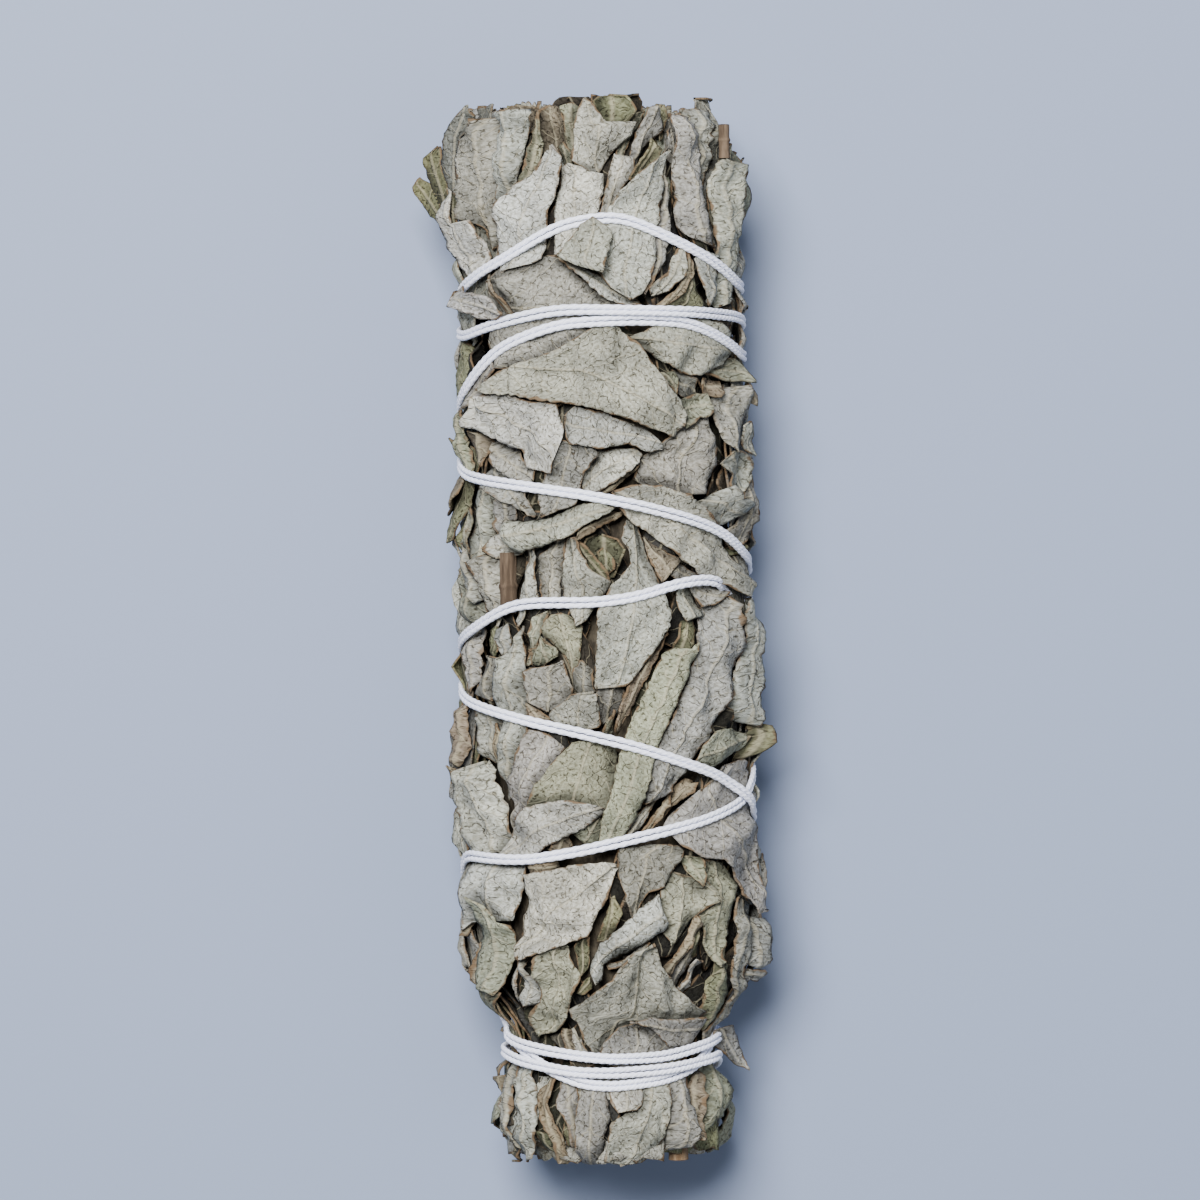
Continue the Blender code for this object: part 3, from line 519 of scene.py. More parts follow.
BOTTOM = tuple(
    cut(BOTTOM_VIEW, *row[:-1], **row[-1])
    for row in (
        (((285, 600), (302, 760), (300, 797), (272, 780), (268, 740)), 272, TAN, -20, {}),
        (((240, 380), (260, 400), (250, 600), (236, 600)), 270, TAN, -30, {}),
        (((1465, 400), (1482, 470), (1494, 492), (1460, 490)), 280, TAN, -20, {}),
        (((1400, 745), (1477, 770), (1467, 812), (1398, 800)), -14, LIGHT, -20, {}),
        (((1380, 535), (1472, 538), (1487, 590), (1482, 740), (1440, 752), (1403, 730)),
         271, LIGHT, -30, {}),
        (((480, 300), (620, 290), (620, 340), (500, 350)), 0, TAN, -30, {}),
        (((850, 430), (885, 500), (835, 620), (780, 620)), 262, OLIVE, -20, {}),
        (((670, 620), (748, 595), (742, 720), (700, 760), (688, 680)), 270, OLIVE, -20, {}),
        (((690, 820), (745, 755), (765, 800), (720, 830)), 230, OLIVE, -30, {}),
        (((1155, 640), (1232, 550), (1238, 690), (1178, 700)), 268, OLIVE, -20, {}),
        (((1110, 740), (1162, 635), (1185, 700), (1162, 810), (1128, 800)), 258, MAUVE, -50, {}),
        (((1180, 690), (1243, 708), (1215, 795), (1160, 855), (1125, 840), (1190, 770)),
         240, LIGHT, -70, {}),
        (((1345, 585), (1337, 720), (1327, 850), (1290, 925), (1222, 995), (1207, 930), (1238, 820),
         (1280, 730), (1318, 640)), 254, OLIVE, -90, {}),
        (((440, 560), (457, 515), (478, 495), (472, 560), (432, 660), (442, 800), (428, 855),
         (412, 830), (420, 650)), 268, PALE, 100, {}),
        (((455, 640), (482, 660), (497, 760), (542, 800), (553, 870), (480, 882), (463, 850),
         (468, 720)), 272, LIGHT, -40, {}),
        (((550, 670), (590, 630), (662, 628), (682, 690), (718, 750), (682, 830), (667, 920),
         (652, 952), (600, 977), (560, 967), (513, 1000), (518, 900), (543, 860), (538, 760)),
         266, SAGE, 30, {"ragged": 0.6}),
        (((1218, 295), (1282, 305), (1342, 358), (1373, 410), (1352, 480), (1322, 620), (1302, 680),
         (1310, 717), (1288, 727), (1248, 670), (1233, 600), (1215, 540), (1200, 505), (1270, 458),
         (1210, 378)), 270, SAGE, -26, {}),
        (((1050, 420), (1110, 345), (1150, 368), (1200, 400), (1217, 368), (1272, 460), (1200, 512),
         (1122, 612), (1090, 637), (1058, 590), (1043, 480)), 262, SAGE, 16, {}),
        (((1135, 285), (1207, 285), (1217, 350), (1205, 403), (1175, 370)), 285, SAGE, -20, {}),
        (((1180, 515), (1217, 540), (1162, 620), (1102, 762), (1073, 735), (1118, 640)),
         244, TAN, -90, {}),
        (((875, 240), (980, 235), (1050, 220), (1132, 238), (1147, 260), (1112, 330), (1060, 402),
         (1000, 422), (962, 480), (930, 515), (900, 430), (873, 340)), 256, MAUVE, -30, {}),
        (((262, 295), (470, 290), (472, 400), (442, 490), (432, 545), (380, 515), (340, 465),
         (310, 450), (300, 515), (250, 575), (243, 420)), 268, PALE, -30, {}),
        (((330, 800), (407, 820), (412, 900), (432, 960), (440, 1010), (378, 1000), (348, 920)),
         278, SAGE, -60, {}),
        (((310, 440), (347, 470), (382, 540), (432, 550), (412, 640), (407, 760), (407, 832),
         (340, 815), (298, 750), (287, 620), (298, 520)), 270, SAGE, -60, {"left": 25}),
        (((1360, 458), (1387, 453), (1412, 540), (1407, 660), (1387, 820), (1342, 900), (1312, 1000),
         (1280, 1035), (1238, 1055), (1228, 1000), (1290, 930), (1328, 860), (1348, 700), (1348, 560)),
         256, MAUVE, -70, {}),
        (((490, 343), (620, 323), (750, 303), (842, 293), (872, 322), (842, 400), (782, 520),
         (747, 592), (650, 622), (560, 662), (488, 688), (463, 640), (483, 480)), 38, PALE, -18, {}),
        (((1060, 1130), (1090, 1040), (1132, 1048), (1135, 1130)), 262, SAGE, -60, {}),
        (((820, 705), (900, 688), (980, 628), (1003, 620), (970, 665), (880, 715), (830, 728)),
         24, LIGHT, 20, {}),
        (((1030, 427), (1047, 480), (1070, 560), (1000, 612), (940, 652), (860, 682), (817, 705),
         (807, 770), (780, 792), (753, 740), (758, 690), (800, 618), (880, 555), (950, 485)),
         38, LIGHT, -130, {}),
        (((930, 655), (1020, 628), (1062, 720), (1152, 830), (1218, 915), (1212, 955), (1150, 960),
         (1060, 945), (960, 950), (880, 985), (820, 1030), (785, 1078), (738, 1010), (677, 890),
         (750, 838), (850, 768)), 262, MAUVE, -20, {}),
        (((850, 1120), (790, 1090), (818, 1020), (880, 955), (950, 945), (1030, 975), (1130, 1035),
         (1080, 1080), (1060, 1130), (900, 1130)), 88, MAUVE, -24, {}),
        (((915, 938), (1000, 925), (1100, 938), (1215, 938), (1210, 1010), (1190, 1055), (1080, 1045),
         (1000, 968)), 178, MAUVE, -40, {}),
    )
)
STALK_END = tuple(
    cut(BOTTOM_VIEW, *row[:-1], **row[-1])
    for row in (
        (((350, 975), (362, 1025), (432, 1035), (442, 1080), (402, 1110), (390, 1175), (372, 1140),
         (358, 1050)), 270, TAN, -60, {}),
        (((378, 1165), (432, 1165), (415, 1245), (383, 1245)), 268, TAN, -50, {}),
        (((398, 1265), (412, 1310), (412, 1372), (358, 1372), (364, 1340)), 262, MAUVE, -30, {}),
        (((560, 1000), (650, 960), (660, 1060), (600, 1060)), 268, DARK, -30, {}),
        (((640, 960), (680, 960), (700, 1060), (660, 1060)), 276, TAN, -90, {}),
        (((690, 960), (720, 1000), (760, 1090), (700, 1080)), 286, MAUVE, -40, {}),
        (((540, 1370), (610, 1378), (612, 1467), (560, 1452), (530, 1430)), 272, OLIVE, -30, {}),
        (((655, 1290), (702, 1350), (708, 1442), (655, 1430)), 274, OLIVE, -30, {}),
        (((1250, 1385), (1292, 1365), (1287, 1398)), 268, TAN, -20, {}),
        (((440, 1080), (472, 1080), (467, 1200), (442, 1290), (432, 1380), (457, 1462), (428, 1440),
         (408, 1360), (408, 1280), (438, 1180)), 266, LIGHT, -110, {}),
        (((635, 1180), (702, 1200), (722, 1320), (732, 1422), (700, 1432), (678, 1340), (638, 1270)),
         280, MAUVE, -70, {}),
        (((480, 1080), (522, 1120), (532, 1200), (547, 1330), (557, 1370), (532, 1440), (537, 1492),
         (468, 1502), (438, 1400), (448, 1330), (478, 1260), (473, 1180)), 270, LIGHT, -70, {}),
        (((565, 1140), (612, 1160), (607, 1250), (622, 1330), (657, 1410), (657, 1502), (630, 1517),
         (613, 1500), (618, 1420), (578, 1320), (548, 1240), (553, 1180)), 280, TAN, 60, {}),
        (((1262, 1000), (1332, 968), (1362, 1060), (1407, 1172), (1350, 1145), (1268, 1060)),
         296, MAUVE, -20, {"flare": 3.0}),
        (((1240, 1110), (1292, 1055), (1342, 1150), (1337, 1220), (1357, 1290), (1332, 1352),
         (1270, 1372), (1233, 1402), (1222, 1300)), 276, SAGE, -50, {"ragged": 0.6}),
        (((1200, 1160), (1228, 1150), (1228, 1280), (1222, 1412), (1168, 1412), (1188, 1330),
         (1193, 1250)), 268, TAN, 70, {}),
        (((1085, 1170), (1182, 1160), (1187, 1300), (1172, 1400), (1150, 1452), (1088, 1457),
         (1068, 1400), (1078, 1300)), 269, MAUVE, -120, {}),
        (((720, 1190), (822, 1200), (842, 1320), (822, 1380), (817, 1482), (780, 1522), (703, 1512),
         (713, 1400), (708, 1300)), 268, MAUVE, -70, {}),
        (((990, 1190), (1082, 1180), (1077, 1300), (1062, 1400), (1040, 1472), (960, 1512),
         (880, 1517), (818, 1502), (828, 1440), (848, 1330), (930, 1280)), 260, LIGHT, -36, {}),
        (((838, 1190), (982, 1180), (972, 1262), (930, 1292), (870, 1292), (843, 1260)),
         264, LIGHT, -30, {}),
    )
)

# The thread crosses the top ten times, left to right, as x and y; between them it goes round below
THREAD_PASSES = (
    ((-9.6, -39.0), (-6.6, -41.4), (-3.0, -43.0), (0.0, -43.3), (5.0, -42.8), (8.2, -41.6), (9.9, -39.6)),
    ((-14.2, -21.2), (-11.0, -21.5), (-7.7, -21.6), (-2.8, -20.8), (3.0, -19.5), (9.5, -18.0),
     (13.4, -16.2), (14.6, -14.6)),
    ((-12.4, 0.6), (-9.0, 2.6), (-6.0, 2.8), (-1.2, 2.7), (3.3, 3.2), (6.4, 4.3), (10.2, 4.9),
     (12.9, 3.4), (14.4, 1.8)),
    ((-13.1, 23.5), (-9.7, 27.2), (-4.0, 29.1), (3.7, 29.4), (8.4, 29.2), (14.2, 26.1)),
    ((-13.0, 33.4), (-9.0, 35.6), (-3.5, 38.6), (1.9, 39.3), (7.5, 36.8), (13.5, 33.0)),
    ((-13.3, 28.3), (-3.9, 30.5), (4.6, 30.2), (13.4, 29.9)),
    ((-13.4, 15.1), (-7.2, 13.8), (-1.9, 12.9), (3.4, 11.8), (9.3, 10.2), (11.8, 9.0), (13.8, 7.0)),
    ((-14.3, -6.2), (-11.1, -7.4), (-6.2, -8.8), (-2.6, -9.6), (3.0, -11.0), (7.7, -12.7),
     (10.8, -13.9), (14.4, -17.4)),
    ((-9.9, -38.8), (-7.4, -39.6), (-3.6, -40.3), (0.0, -40.7), (5.0, -40.6), (9.9, -39.2)),
    ((-9.9, -40.2), (-7.0, -41.2), (-3.3, -41.9), (0.0, -42.0), (5.0, -41.7), (9.9, -40.8)),
)

# Where it passes between them, as y at the side and y at the bottom line
UNDERSIDE = (
    (-36.4, -33.0), (-10.6, -6.8), (8.0, 13.4), (26.6, 27.4), (32.4, 31.8), (28.4, 22.6),
    (4.6, 1.0), (-19.6, -24.6), (-38.6, -38.4),
)

# The loop of the knot on the neck: its middle, as distance round the bundle and y, and its radius
KNOT_CENTRE = (30.0, -41.7)
KNOT_RADIUS = 1.7

# Bits of wood among the leaves: name, x, height, radius, root y, end y
STEMS = (
    ("stem_at_left", -9.2, 21.5, 0.85, 7.6, 1.8),
    ("bark_chip", 12.0, 18.4, 0.55, 45.0, 48.2),
)

# Woody stalks: name of the CAD node, x, height, radius, root y, end y
STALKS = (
    ("stalk_tan", 6.2, 18.6, 1.0, -37.0, -50.6),
    ("stalk_middle", -0.6, 13.0, 1.3, -33.0, -51.2),
    ("stalk_left", -5.2, 15.4, 1.05, -36.0, -50.4),
    ("stalk_low", 2.6, 8.2, 1.1, -36.0, -50.8),
    ("stalk_top_stub", 8.2, 16.6, 0.8, 34.0, 49.4),
)


def grids_object(name: str, shapes: list[tuple[int, int]], points: Array) -> bpy.types.Object:
    """Returns an object of smooth grids whose vertices are moved into place.

    Args:
        name: Name of the piece.
        shapes: Rows and columns of each grid.
        points: Places of the vertices in millimetres, grid after grid and row by row.
    """
    work = bmesh.new()
    for rows, columns in shapes:
        bmesh.ops.create_grid(work, x_segments=columns - 1, y_segments=rows - 1, size=1.0)
    mesh = bpy.data.meshes.new(name)
    work.to_mesh(mesh)
    work.free()
    mesh.vertices.foreach_set("co", (points.reshape(-1, 3) * MM).ravel())
    mesh.polygons.foreach_set("use_smooth", np.ones(len(mesh.polygons), bool))
    mesh.update()
    made = bpy.data.objects.new(name, mesh)
    bpy.context.scene.collection.objects.link(made)
    log.info("%s: %d quads", name, len(mesh.polygons))
    return made


def note(piece: bpy.types.Object, label: str, kind: str, key: str, values: Array) -> None:
    """Writes one value for each vertex of a piece, which its material reads.

    Args:
        piece: The piece.
        label: Name of the attribute.
        kind: Its type.
        key: The property of the attribute that holds the value.
        values: The values.
    """
    layer = piece.data.attributes.new(label, kind, "POINT")
    layer.data.foreach_set(key, np.ascontiguousarray(values, np.float32).ravel())


def noise_rows(count: int, step: float, chance: random.Random) -> Array:
    """Returns a row of smooth random values between -1 and 1.

    Args:
        count: Number of values.
        step: Number of values between two random ones.
        chance: Source of the random values.
    """
    knots = int(count / step) + 3
    values = [chance.uniform(-1.0, 1.0) for _ in range(knots)]
    return np.interp(np.arange(count) / step, np.arange(knots), values)


def bell(reach: int, step: float, spread: float) -> Array:
    """Returns the weights of a smoothing window.

    Args:
        reach: Number of values on each side.
        step: Distance between two values.
        spread: Distance at which the weights have fallen to about 0.6.
    """
    window = np.exp(-0.5 * (np.arange(-reach, reach + 1) * step / spread) ** 2)
    return window / window.sum()


def smoothed(row: Array, reach: int, step: float, spread: float) -> Array:
    """Returns a row of values smoothed by a window, with its ends held."""
    return np.convolve(np.pad(row, reach, mode="edge"), bell(reach, step, spread), mode="valid")


class Bundle:
    """The bundle's surface, unrolled: distance round it, place along it and height over its core."""

    def __init__(self) -> None:
        """Eases the corners of the profile."""
        stations = np.array([row[0] for row in PROFILE])
        step = 0.25
        self.grid = np.arange(-60.0, 60.01, step)
        self.half = []
        for column in (1, 2):
            raw = np.interp(self.grid, stations, [row[column] for row in PROFILE])
            self.half.append(smoothed(raw, 12, step, 0.9))

    def half_axes(self, y: Array) -> tuple[Array, Array]:
        """Returns half the width and half the height of the bundle at y."""
        return np.interp(y, self.grid, self.half[0]), np.interp(y, self.grid, self.half[1])

    def place(self, turn: Array, y: Array, height: Array) -> Array:
        """Returns points in millimetres, in the row frame.

        Args:
            turn: Distance round the bundle from its top line.
            y: Place along the bundle.
            height: Height over the core's skin.
        """
        width, tall = self.half_axes(y)
        angle = math.pi / 2 - turn / ROLL_RADIUS
        across = (width - STACK_DEPTH + height) * np.cos(angle) + CENTRE_SHIFT
        up = AXIS_HEIGHT + (tall - STACK_DEPTH + height) * np.sin(angle)
        return np.stack([across, np.broadcast_to(y, across.shape), up], axis=-1)

    def turn_of(self, x: Array, y: Array) -> Array:
        """Returns the distance round the bundle of points seen at x from above."""
        share = x / (self.half_axes(y)[0] + 0.4)
        inside = np.clip(share, -0.95, 0.95)
        return ROLL_RADIUS * (np.arcsin(inside) + 1.6 * (share - inside))


class HeightMap:
    """Heights of what has been laid so far, on a grid that is closed round the bundle."""

    def __init__(self, base: float) -> None:
        """Starts level at base."""
        self.rounds = int(round(CIRCLE / CELL))
        self.rows = int(MAP_LENGTH / CELL)
        self.values = np.full((self.rounds, self.rows), base)

    def cells(self, turn: Array, y: Array) -> tuple[Array, Array]:
        """Returns fractional cell indices of points."""
        along = np.clip((y - MAP_START) / CELL, 0, self.rows - 1.001)
        return (turn % CIRCLE) / CIRCLE * self.rounds, along

    def sample(self, turn: Array, y: Array) -> Array:
        """Returns the height at each point, blended between cells."""
        i, j = self.cells(turn, y)
        i0 = np.floor(i).astype(int)
        j0 = np.floor(j).astype(int)
        fi = i - i0
        fj = j - j0
        i0 %= self.rounds
        i1 = (i0 + 1) % self.rounds
        grid = self.values
        low = grid[i0, j0] * (1 - fi) + grid[i1, j0] * fi
        high = grid[i0, j0 + 1] * (1 - fi) + grid[i1, j0 + 1] * fi
        return low * (1 - fj) + high * fj

    def raise_to(self, turn: Array, y: Array, height: Array) -> None:
        """Lifts the cells round each point to at least its height."""
        i, j = self.cells(turn, y)
        for di in (0, 1):
            for dj in (0, 1):
                a = (np.floor(i).astype(int) + di) % self.rounds
                b = np.minimum(np.floor(j).astype(int) + dj, self.rows - 1)
                np.maximum.at(self.values, (a.ravel(), b.ravel()), height.ravel())


class Thread:
    """The doubled thread's route and the way it presses the leaves in."""

    def __init__(self, bundle: Bundle) -> None:
        """Finds the route and how far the thread rises where it crosses itself."""
        self.bundle = bundle
        self.turns, self.ys = self.route()
        self.lifts = self.crossings()
        start = 2 * CIRCLE + float(bundle.turn_of(np.array(TUCK_START[0]), np.array(TUCK_START[1])))
        entering = np.clip((self.turns - start) / 1.5, 0, 1)
        leaving = np.clip((start + TUCK_LENGTH - self.turns) / 2, 0, 1)
        self.lifts = self.lifts - TUCK_DEPTH * entering * leaving

    def route(self) -> tuple[Array, Array]:
        """Returns distance round the bundle and y along the thread's middle line."""
        turns: list[float] = []
        ys: list[float] = []
        for number, points in enumerate(THREAD_PASSES):
            for x, y in points:
                turns.append(number * CIRCLE + float(self.bundle.turn_of(np.array(x), np.array(y))))
                ys.append(y)
            if number < len(UNDERSIDE):
                turns += [(number + 0.37) * CIRCLE, (number + 0.5) * CIRCLE]
                ys += list(UNDERSIDE[number])
        step = 0.3
        grid = np.arange(turns[0], turns[-1], step)
        smooth = smoothed(np.interp(grid, turns, ys), 14, step, 1.4)
        knot = (len(THREAD_PASSES) - 1) * CIRCLE + KNOT_CENTRE[0]
        lead = np.linspace(grid[-1], knot, 34)[1:]
        lead_y = np.interp(lead, [grid[-1], knot], [smooth[-1], KNOT_CENTRE[1] - KNOT_RADIUS])
        swing = np.radians(np.arange(-84, 276, 9))
        curl = knot + KNOT_RADIUS * np.cos(swing)
        curl_y = KNOT_CENTRE[1] + KNOT_RADIUS * np.sin(swing)
        tail = np.linspace(curl[-1], curl[-1] + 5.5, 18)[1:]
        tail_y = np.linspace(curl_y[-1], curl_y[-1] + 0.9, 18)[1:]
        whole = np.concatenate([grid, lead, curl, tail])
        return whole, np.concatenate([smooth, lead_y, curl_y, tail_y])

    def travelled(self) -> Array:
        """Returns the way along the route to each of its points."""
        steps = np.hypot(np.diff(self.turns), np.diff(self.ys))
        return np.concatenate([[0.0], np.cumsum(steps)])

    def crossings(self) -> Array:
        """Returns the thread's rise over its own earlier turns."""
        lifts = np.zeros(len(self.turns))
        widths = self.bundle.half_axes(self.ys)[0] / ROLL_RADIUS
        travelled = self.travelled()
        for i in range(len(lifts)):
            before = travelled < travelled[i] - 5.0
            if before.any():
                apart = np.abs(self.turns[before] - self.turns[i]) % CIRCLE
                apart = np.minimum(apart, CIRCLE - apart) * widths[i]
                distance = np.hypot(apart, self.ys[before] - self.ys[i])
                fall = 0.5 * np.maximum(0.0, distance - 0.95)
                lifts[i] = max(0.0, float((lifts[before] + 0.58 - fall).max()))
        return lifts

    def limit(self) -> HeightMap:
        """Returns the most height that the thread leaves for the leaves under and beside it."""
        limit = HeightMap(99.0)
        turn = np.arange(limit.rounds) / limit.rounds * CIRCLE
        y = np.arange(limit.rows) * CELL + MAP_START
        nearest = limit.values
        for t, along, lift in zip(self.turns[::2], self.ys[::2], self.lifts[::2]):
            if lift < -0.3:
                continue
            j0 = int(max(0, (along - MAP_START - PRESS_REACH) / CELL))
            j1 = int(min(limit.rows, (along - MAP_START + PRESS_REACH) / CELL))
            apart = np.abs(turn - t % CIRCLE)
            apart = np.minimum(apart, CIRCLE - apart)
            near = np.where(apart < PRESS_REACH)[0]
            distance = np.hypot(apart[near][:, None], y[None, j0:j1] - along)
            block = nearest[near[:, None], np.arange(j0, j1)[None, :]]
            nearest[near[:, None], np.arange(j0, j1)[None, :]] = np.minimum(block, distance)
        limit.values = STACK_DEPTH - 0.12 + PRESS_SLOPE * np.maximum(0.0, nearest - 0.7)
        return limit

    def scale(self, top: HeightMap, mean: float, chance: random.Random) -> HeightMap:
        """Returns what the laid heights are multiplied by, so that the bundle keeps its size.

        Args:
            top: Heights of all that has been laid.
            mean: Height that the top should have on average.
            chance: Source of the slow waves in the finished surface.
        """
        scale = HeightMap(1.0)
        turn = np.arange(scale.rounds) / scale.rounds * CIRCLE
        y = np.arange(scale.rows) * CELL + MAP_START
        waves = np.zeros((scale.rounds, scale.rows))
        for _ in range(12):
            a = chance.randint(1, 7)
            b = chance.uniform(-0.7, 0.7)
            phase = chance.uniform(0, 6.28)
            waves += np.sin(a * turn[:, None] / ROLL_RADIUS + b * y[None, :] + phase)
        wanted = mean + 0.08 * waves
        span = int(7.0 / CELL)
        window = bell(span, CELL, 2.6)
        smooth = np.pad(top.values, ((span, span), (span, span)), mode="wrap")
        smooth[:, :span] = smooth[:, span : span + 1]
        smooth[:, -span:] = smooth[:, -span - 1 : -span]
        smooth = np.apply_along_axis(np.convolve, 0, smooth, window, "valid")
        smooth = np.apply_along_axis(np.convolve, 1, smooth, window, "valid")
        scale.values = np.clip(wanted / np.maximum(smooth, 0.5), 0.4, 2.2)
        return scale


@dataclass
class Sheet:
    """A leaf's grid of vertices, worked out in the plane and then draped.

    Attributes:
        leaf: The leaf that this is.
        piece: Name of the object that it goes into.
        seed: Seed of everything random about it.
        spacing: Distance between vertices.
    """

    leaf: Leaf
    piece: str
    seed: int
    spacing: float = 0.42
    shape: tuple[int, int] = (0, 0)
    turn: Array = field(default_factory=lambda: np.zeros(0))
    y: Array = field(default_factory=lambda: np.zeros(0))
    rise: Array = field(default_factory=lambda: np.zeros(0))
    margin: Array = field(default_factory=lambda: np.zeros(0))
    along: Array = field(default_factory=lambda: np.zeros(0))
    across: Array = field(default_factory=lambda: np.zeros(0))
    points: Array = field(default_factory=lambda: np.zeros(0))
    stand: Array | None = None
    covered: Array | float = 0.0

    def half_width(self, u: Array) -> Array:
        """Returns the outline's half width, as a share, along the blade."""
        kind = self.leaf.outline
        if kind is Outline.LANCE:
            return np.clip(np.sin(math.pi * np.clip(u, 0.03, 0.985) ** 0.9), 0.03, 1) ** 0.72
        if kind is Outline.OVAL:
            return np.clip(1 - np.abs(2 * u - 0.94) ** 2.6 * 0.93, 0.06, 1) ** 0.6
        if kind is Outline.TIP:
            narrowing = np.clip(1 - ((u - 0.4) / 0.61) ** 2.0, 0.02, 1) ** 0.7
            return np.where(u < 0.4, 0.94 + 0.15 * u, narrowing)
        return 1.0 - 0.12 * np.abs(2 * u - 1) ** 3

    def sides(self, ahead: Array) -> tuple[Array, Array]:
        """Returns the outline's left and right reach at each place along a blade of its own shape."""
        corners = self.leaf.corners
        left = np.full(ahead.shape, -99.0)
        right = np.full(ahead.shape, 99.0)
        for (a0, b0), (a1, b1) in zip(corners, corners[1:] + corners[:1]):
            if abs(a1 - a0) < 1e-6:
                continue
            share = (ahead - a0) / (a1 - a0)
            met = (share >= 0) & (share <= 1)
            b = b0 + share * (b1 - b0)
            left = np.where(met, np.maximum(left, b), left)
            right = np.where(met, np.minimum(right, b), right)
        return left, right

    def edges(self, u: Array, chance: random.Random) -> tuple[Array, Array, Array]:
        """Returns the torn left and right half widths and the middle line along the blade."""
        leaf = self.leaf
        if leaf.outline is Outline.CORNERS:
            left, right = self.sides((u - 0.5) * leaf.length * 0.992)
            middle = (left + right) / 2
            width = np.maximum((left - right) / 2, 0.08)
        else:
            middle = np.zeros(len(u))
            width = self.half_width(u) * leaf.width / 2
        teeth = 0.07 * np.abs(np.sin(math.pi * u * leaf.length / 0.95)) - 0.05
        jagged = leaf.ragged * (0.3 if leaf.outline is Outline.STRIP else 0.14)
        halves = []
        for _ in range(2):
            half = width + teeth + jagged * noise_rows(len(u), 2.6 / self.spacing, chance)
            half = half + 0.07 * noise_rows(len(u), 1.0, chance)
            halves.append(np.maximum(half, 0.05))
        return halves[0], halves[1], middle

    def section(self, v: Array) -> tuple[Array, Array]:
        """Returns how far the rolled section runs and lifts at each share v across the blade."""
        leaf = self.leaf
        fine = np.linspace(-1, 1, 241)
        slope = np.interp(fine, v, np.radians(self.section_angles(v)))
        run = np.concatenate([[0.0], np.cumsum(np.cos(slope[:-1]) / 120)])
        lift = np.concatenate([[0.0], np.cumsum(np.sin(slope[:-1]) / 120)])
        run -= np.interp(0.0, fine, run)
        lift -= np.interp(0.0, fine, lift)
        if leaf.outline is Outline.CORNERS:
            most = max(np.abs(run).max(), 0.2)
            run = run / most
            lift = lift / most
        run = np.interp(v, fine, run)
        lift = np.interp(v, fine, lift)
        if leaf.cup < 0:
            lift = lift - lift.min() * min(1.0, 0.45 + abs(leaf.cup) / 260)
        return run, lift

    def hang(self, bundle: Bundle, x: Array) -> None:
        """Lets the blade hang round the side, and keeps how far out its outline stands there."""
        most = HANG_ANGLE * ROLL_RADIUS
        self.turn = np.clip(self.turn, -most, most)
        angle = np.abs(self.turn) / ROLL_RADIUS
        core = bundle.half_axes(self.y)[0] - STACK_DEPTH
        reach = np.abs(x) / np.sin(np.maximum(angle, 0.5)) - core
        self.stand = np.where(angle > SIDE_ANGLE, reach, 0.0)

    def plan(self, bundle: Bundle) -> None:
        """Works out the blade's grid, its rolled section and its place round the bundle."""
        leaf = self.leaf
        chance = random.Random(self.seed)
        rows = max(8, int(leaf.length / self.spacing))
        columns = max(8, int(leaf.width / self.spacing)) | 1
        self.shape = (rows, columns)
        u = np.linspace(0, 1, rows)
        v = np.linspace(-1, 1, columns)
        own = leaf.outline is Outline.CORNERS
        torn = leaf.ragged
        left, right, middle = self.edges(u, chance)
        run, lift = self.section(v)
        half = np.where(v[None, :] > 0, left[:, None], right[:, None])
        side = run[None, :] * half + middle[:, None]
        self.rise = lift[None, :] * half
        slant = chance.uniform(-0.5, 0.5) * torn * leaf.width / 2 * v
        near_root = np.clip(1 - u / 0.25, 0, 1)[:, None]
        near_tip = np.clip(1 - (1 - u) / 0.25, 0, 1)[:, None]
        frayed = 0.25 * torn if own else 0.8 * torn
        ahead = (u[:, None] - 0.5) * leaf.length
        tear = 1.3 / self.spacing
        ahead = ahead + near_root * (frayed * noise_rows(columns, tear, chance) + 0.06)[None, :]
        ahead = ahead + near_tip * (frayed * noise_rows(columns, tear, chance))[None, :]
        ends = np.minimum(u, 1 - u)[:, None] * leaf.length
        if leaf.outline is Outline.STRIP:
            ahead = ahead + (near_root + near_tip) * slant[None, :]
        self.along = ahead + leaf.length / 2
        self.across = v[None, :] * half
        self.margin = np.minimum(half - np.abs(self.across), ends)
        side = side + leaf.bend * np.sin(math.pi * u)[:, None]
        if own:
            self.across = self.across + (middle - middle.mean())[:, None] * 0.5
        self.rise = self.rise + self.ripple(ahead, side, chance)
        self.rise = self.rise + leaf.flare * (np.clip(u[:, None], 0, 1) ** 1.6)
        heading = math.radians(leaf.heading)
        x = ahead * math.cos(heading) - side * math.sin(heading)
        y = leaf.y + ahead * math.sin(heading) + side * math.cos(heading)
        self.y = np.clip(y, -END_REACH, END_REACH)
        self.turn = leaf.x + x if leaf.wrapped else bundle.turn_of(leaf.x + x, self.y)
        if own:
            self.hang(bundle, leaf.x + x)

    def section_angles(self, v: Array) -> Array:
        """Returns the section's slope in degrees at each share v across the blade."""
        leaf = self.leaf
        edge = np.clip((np.abs(v) - 0.45) / 0.55, 0, 1) ** 1.4
        more = np.where(v > 0, leaf.left, -leaf.right) * edge
        return leaf.cup / 2 * v + more

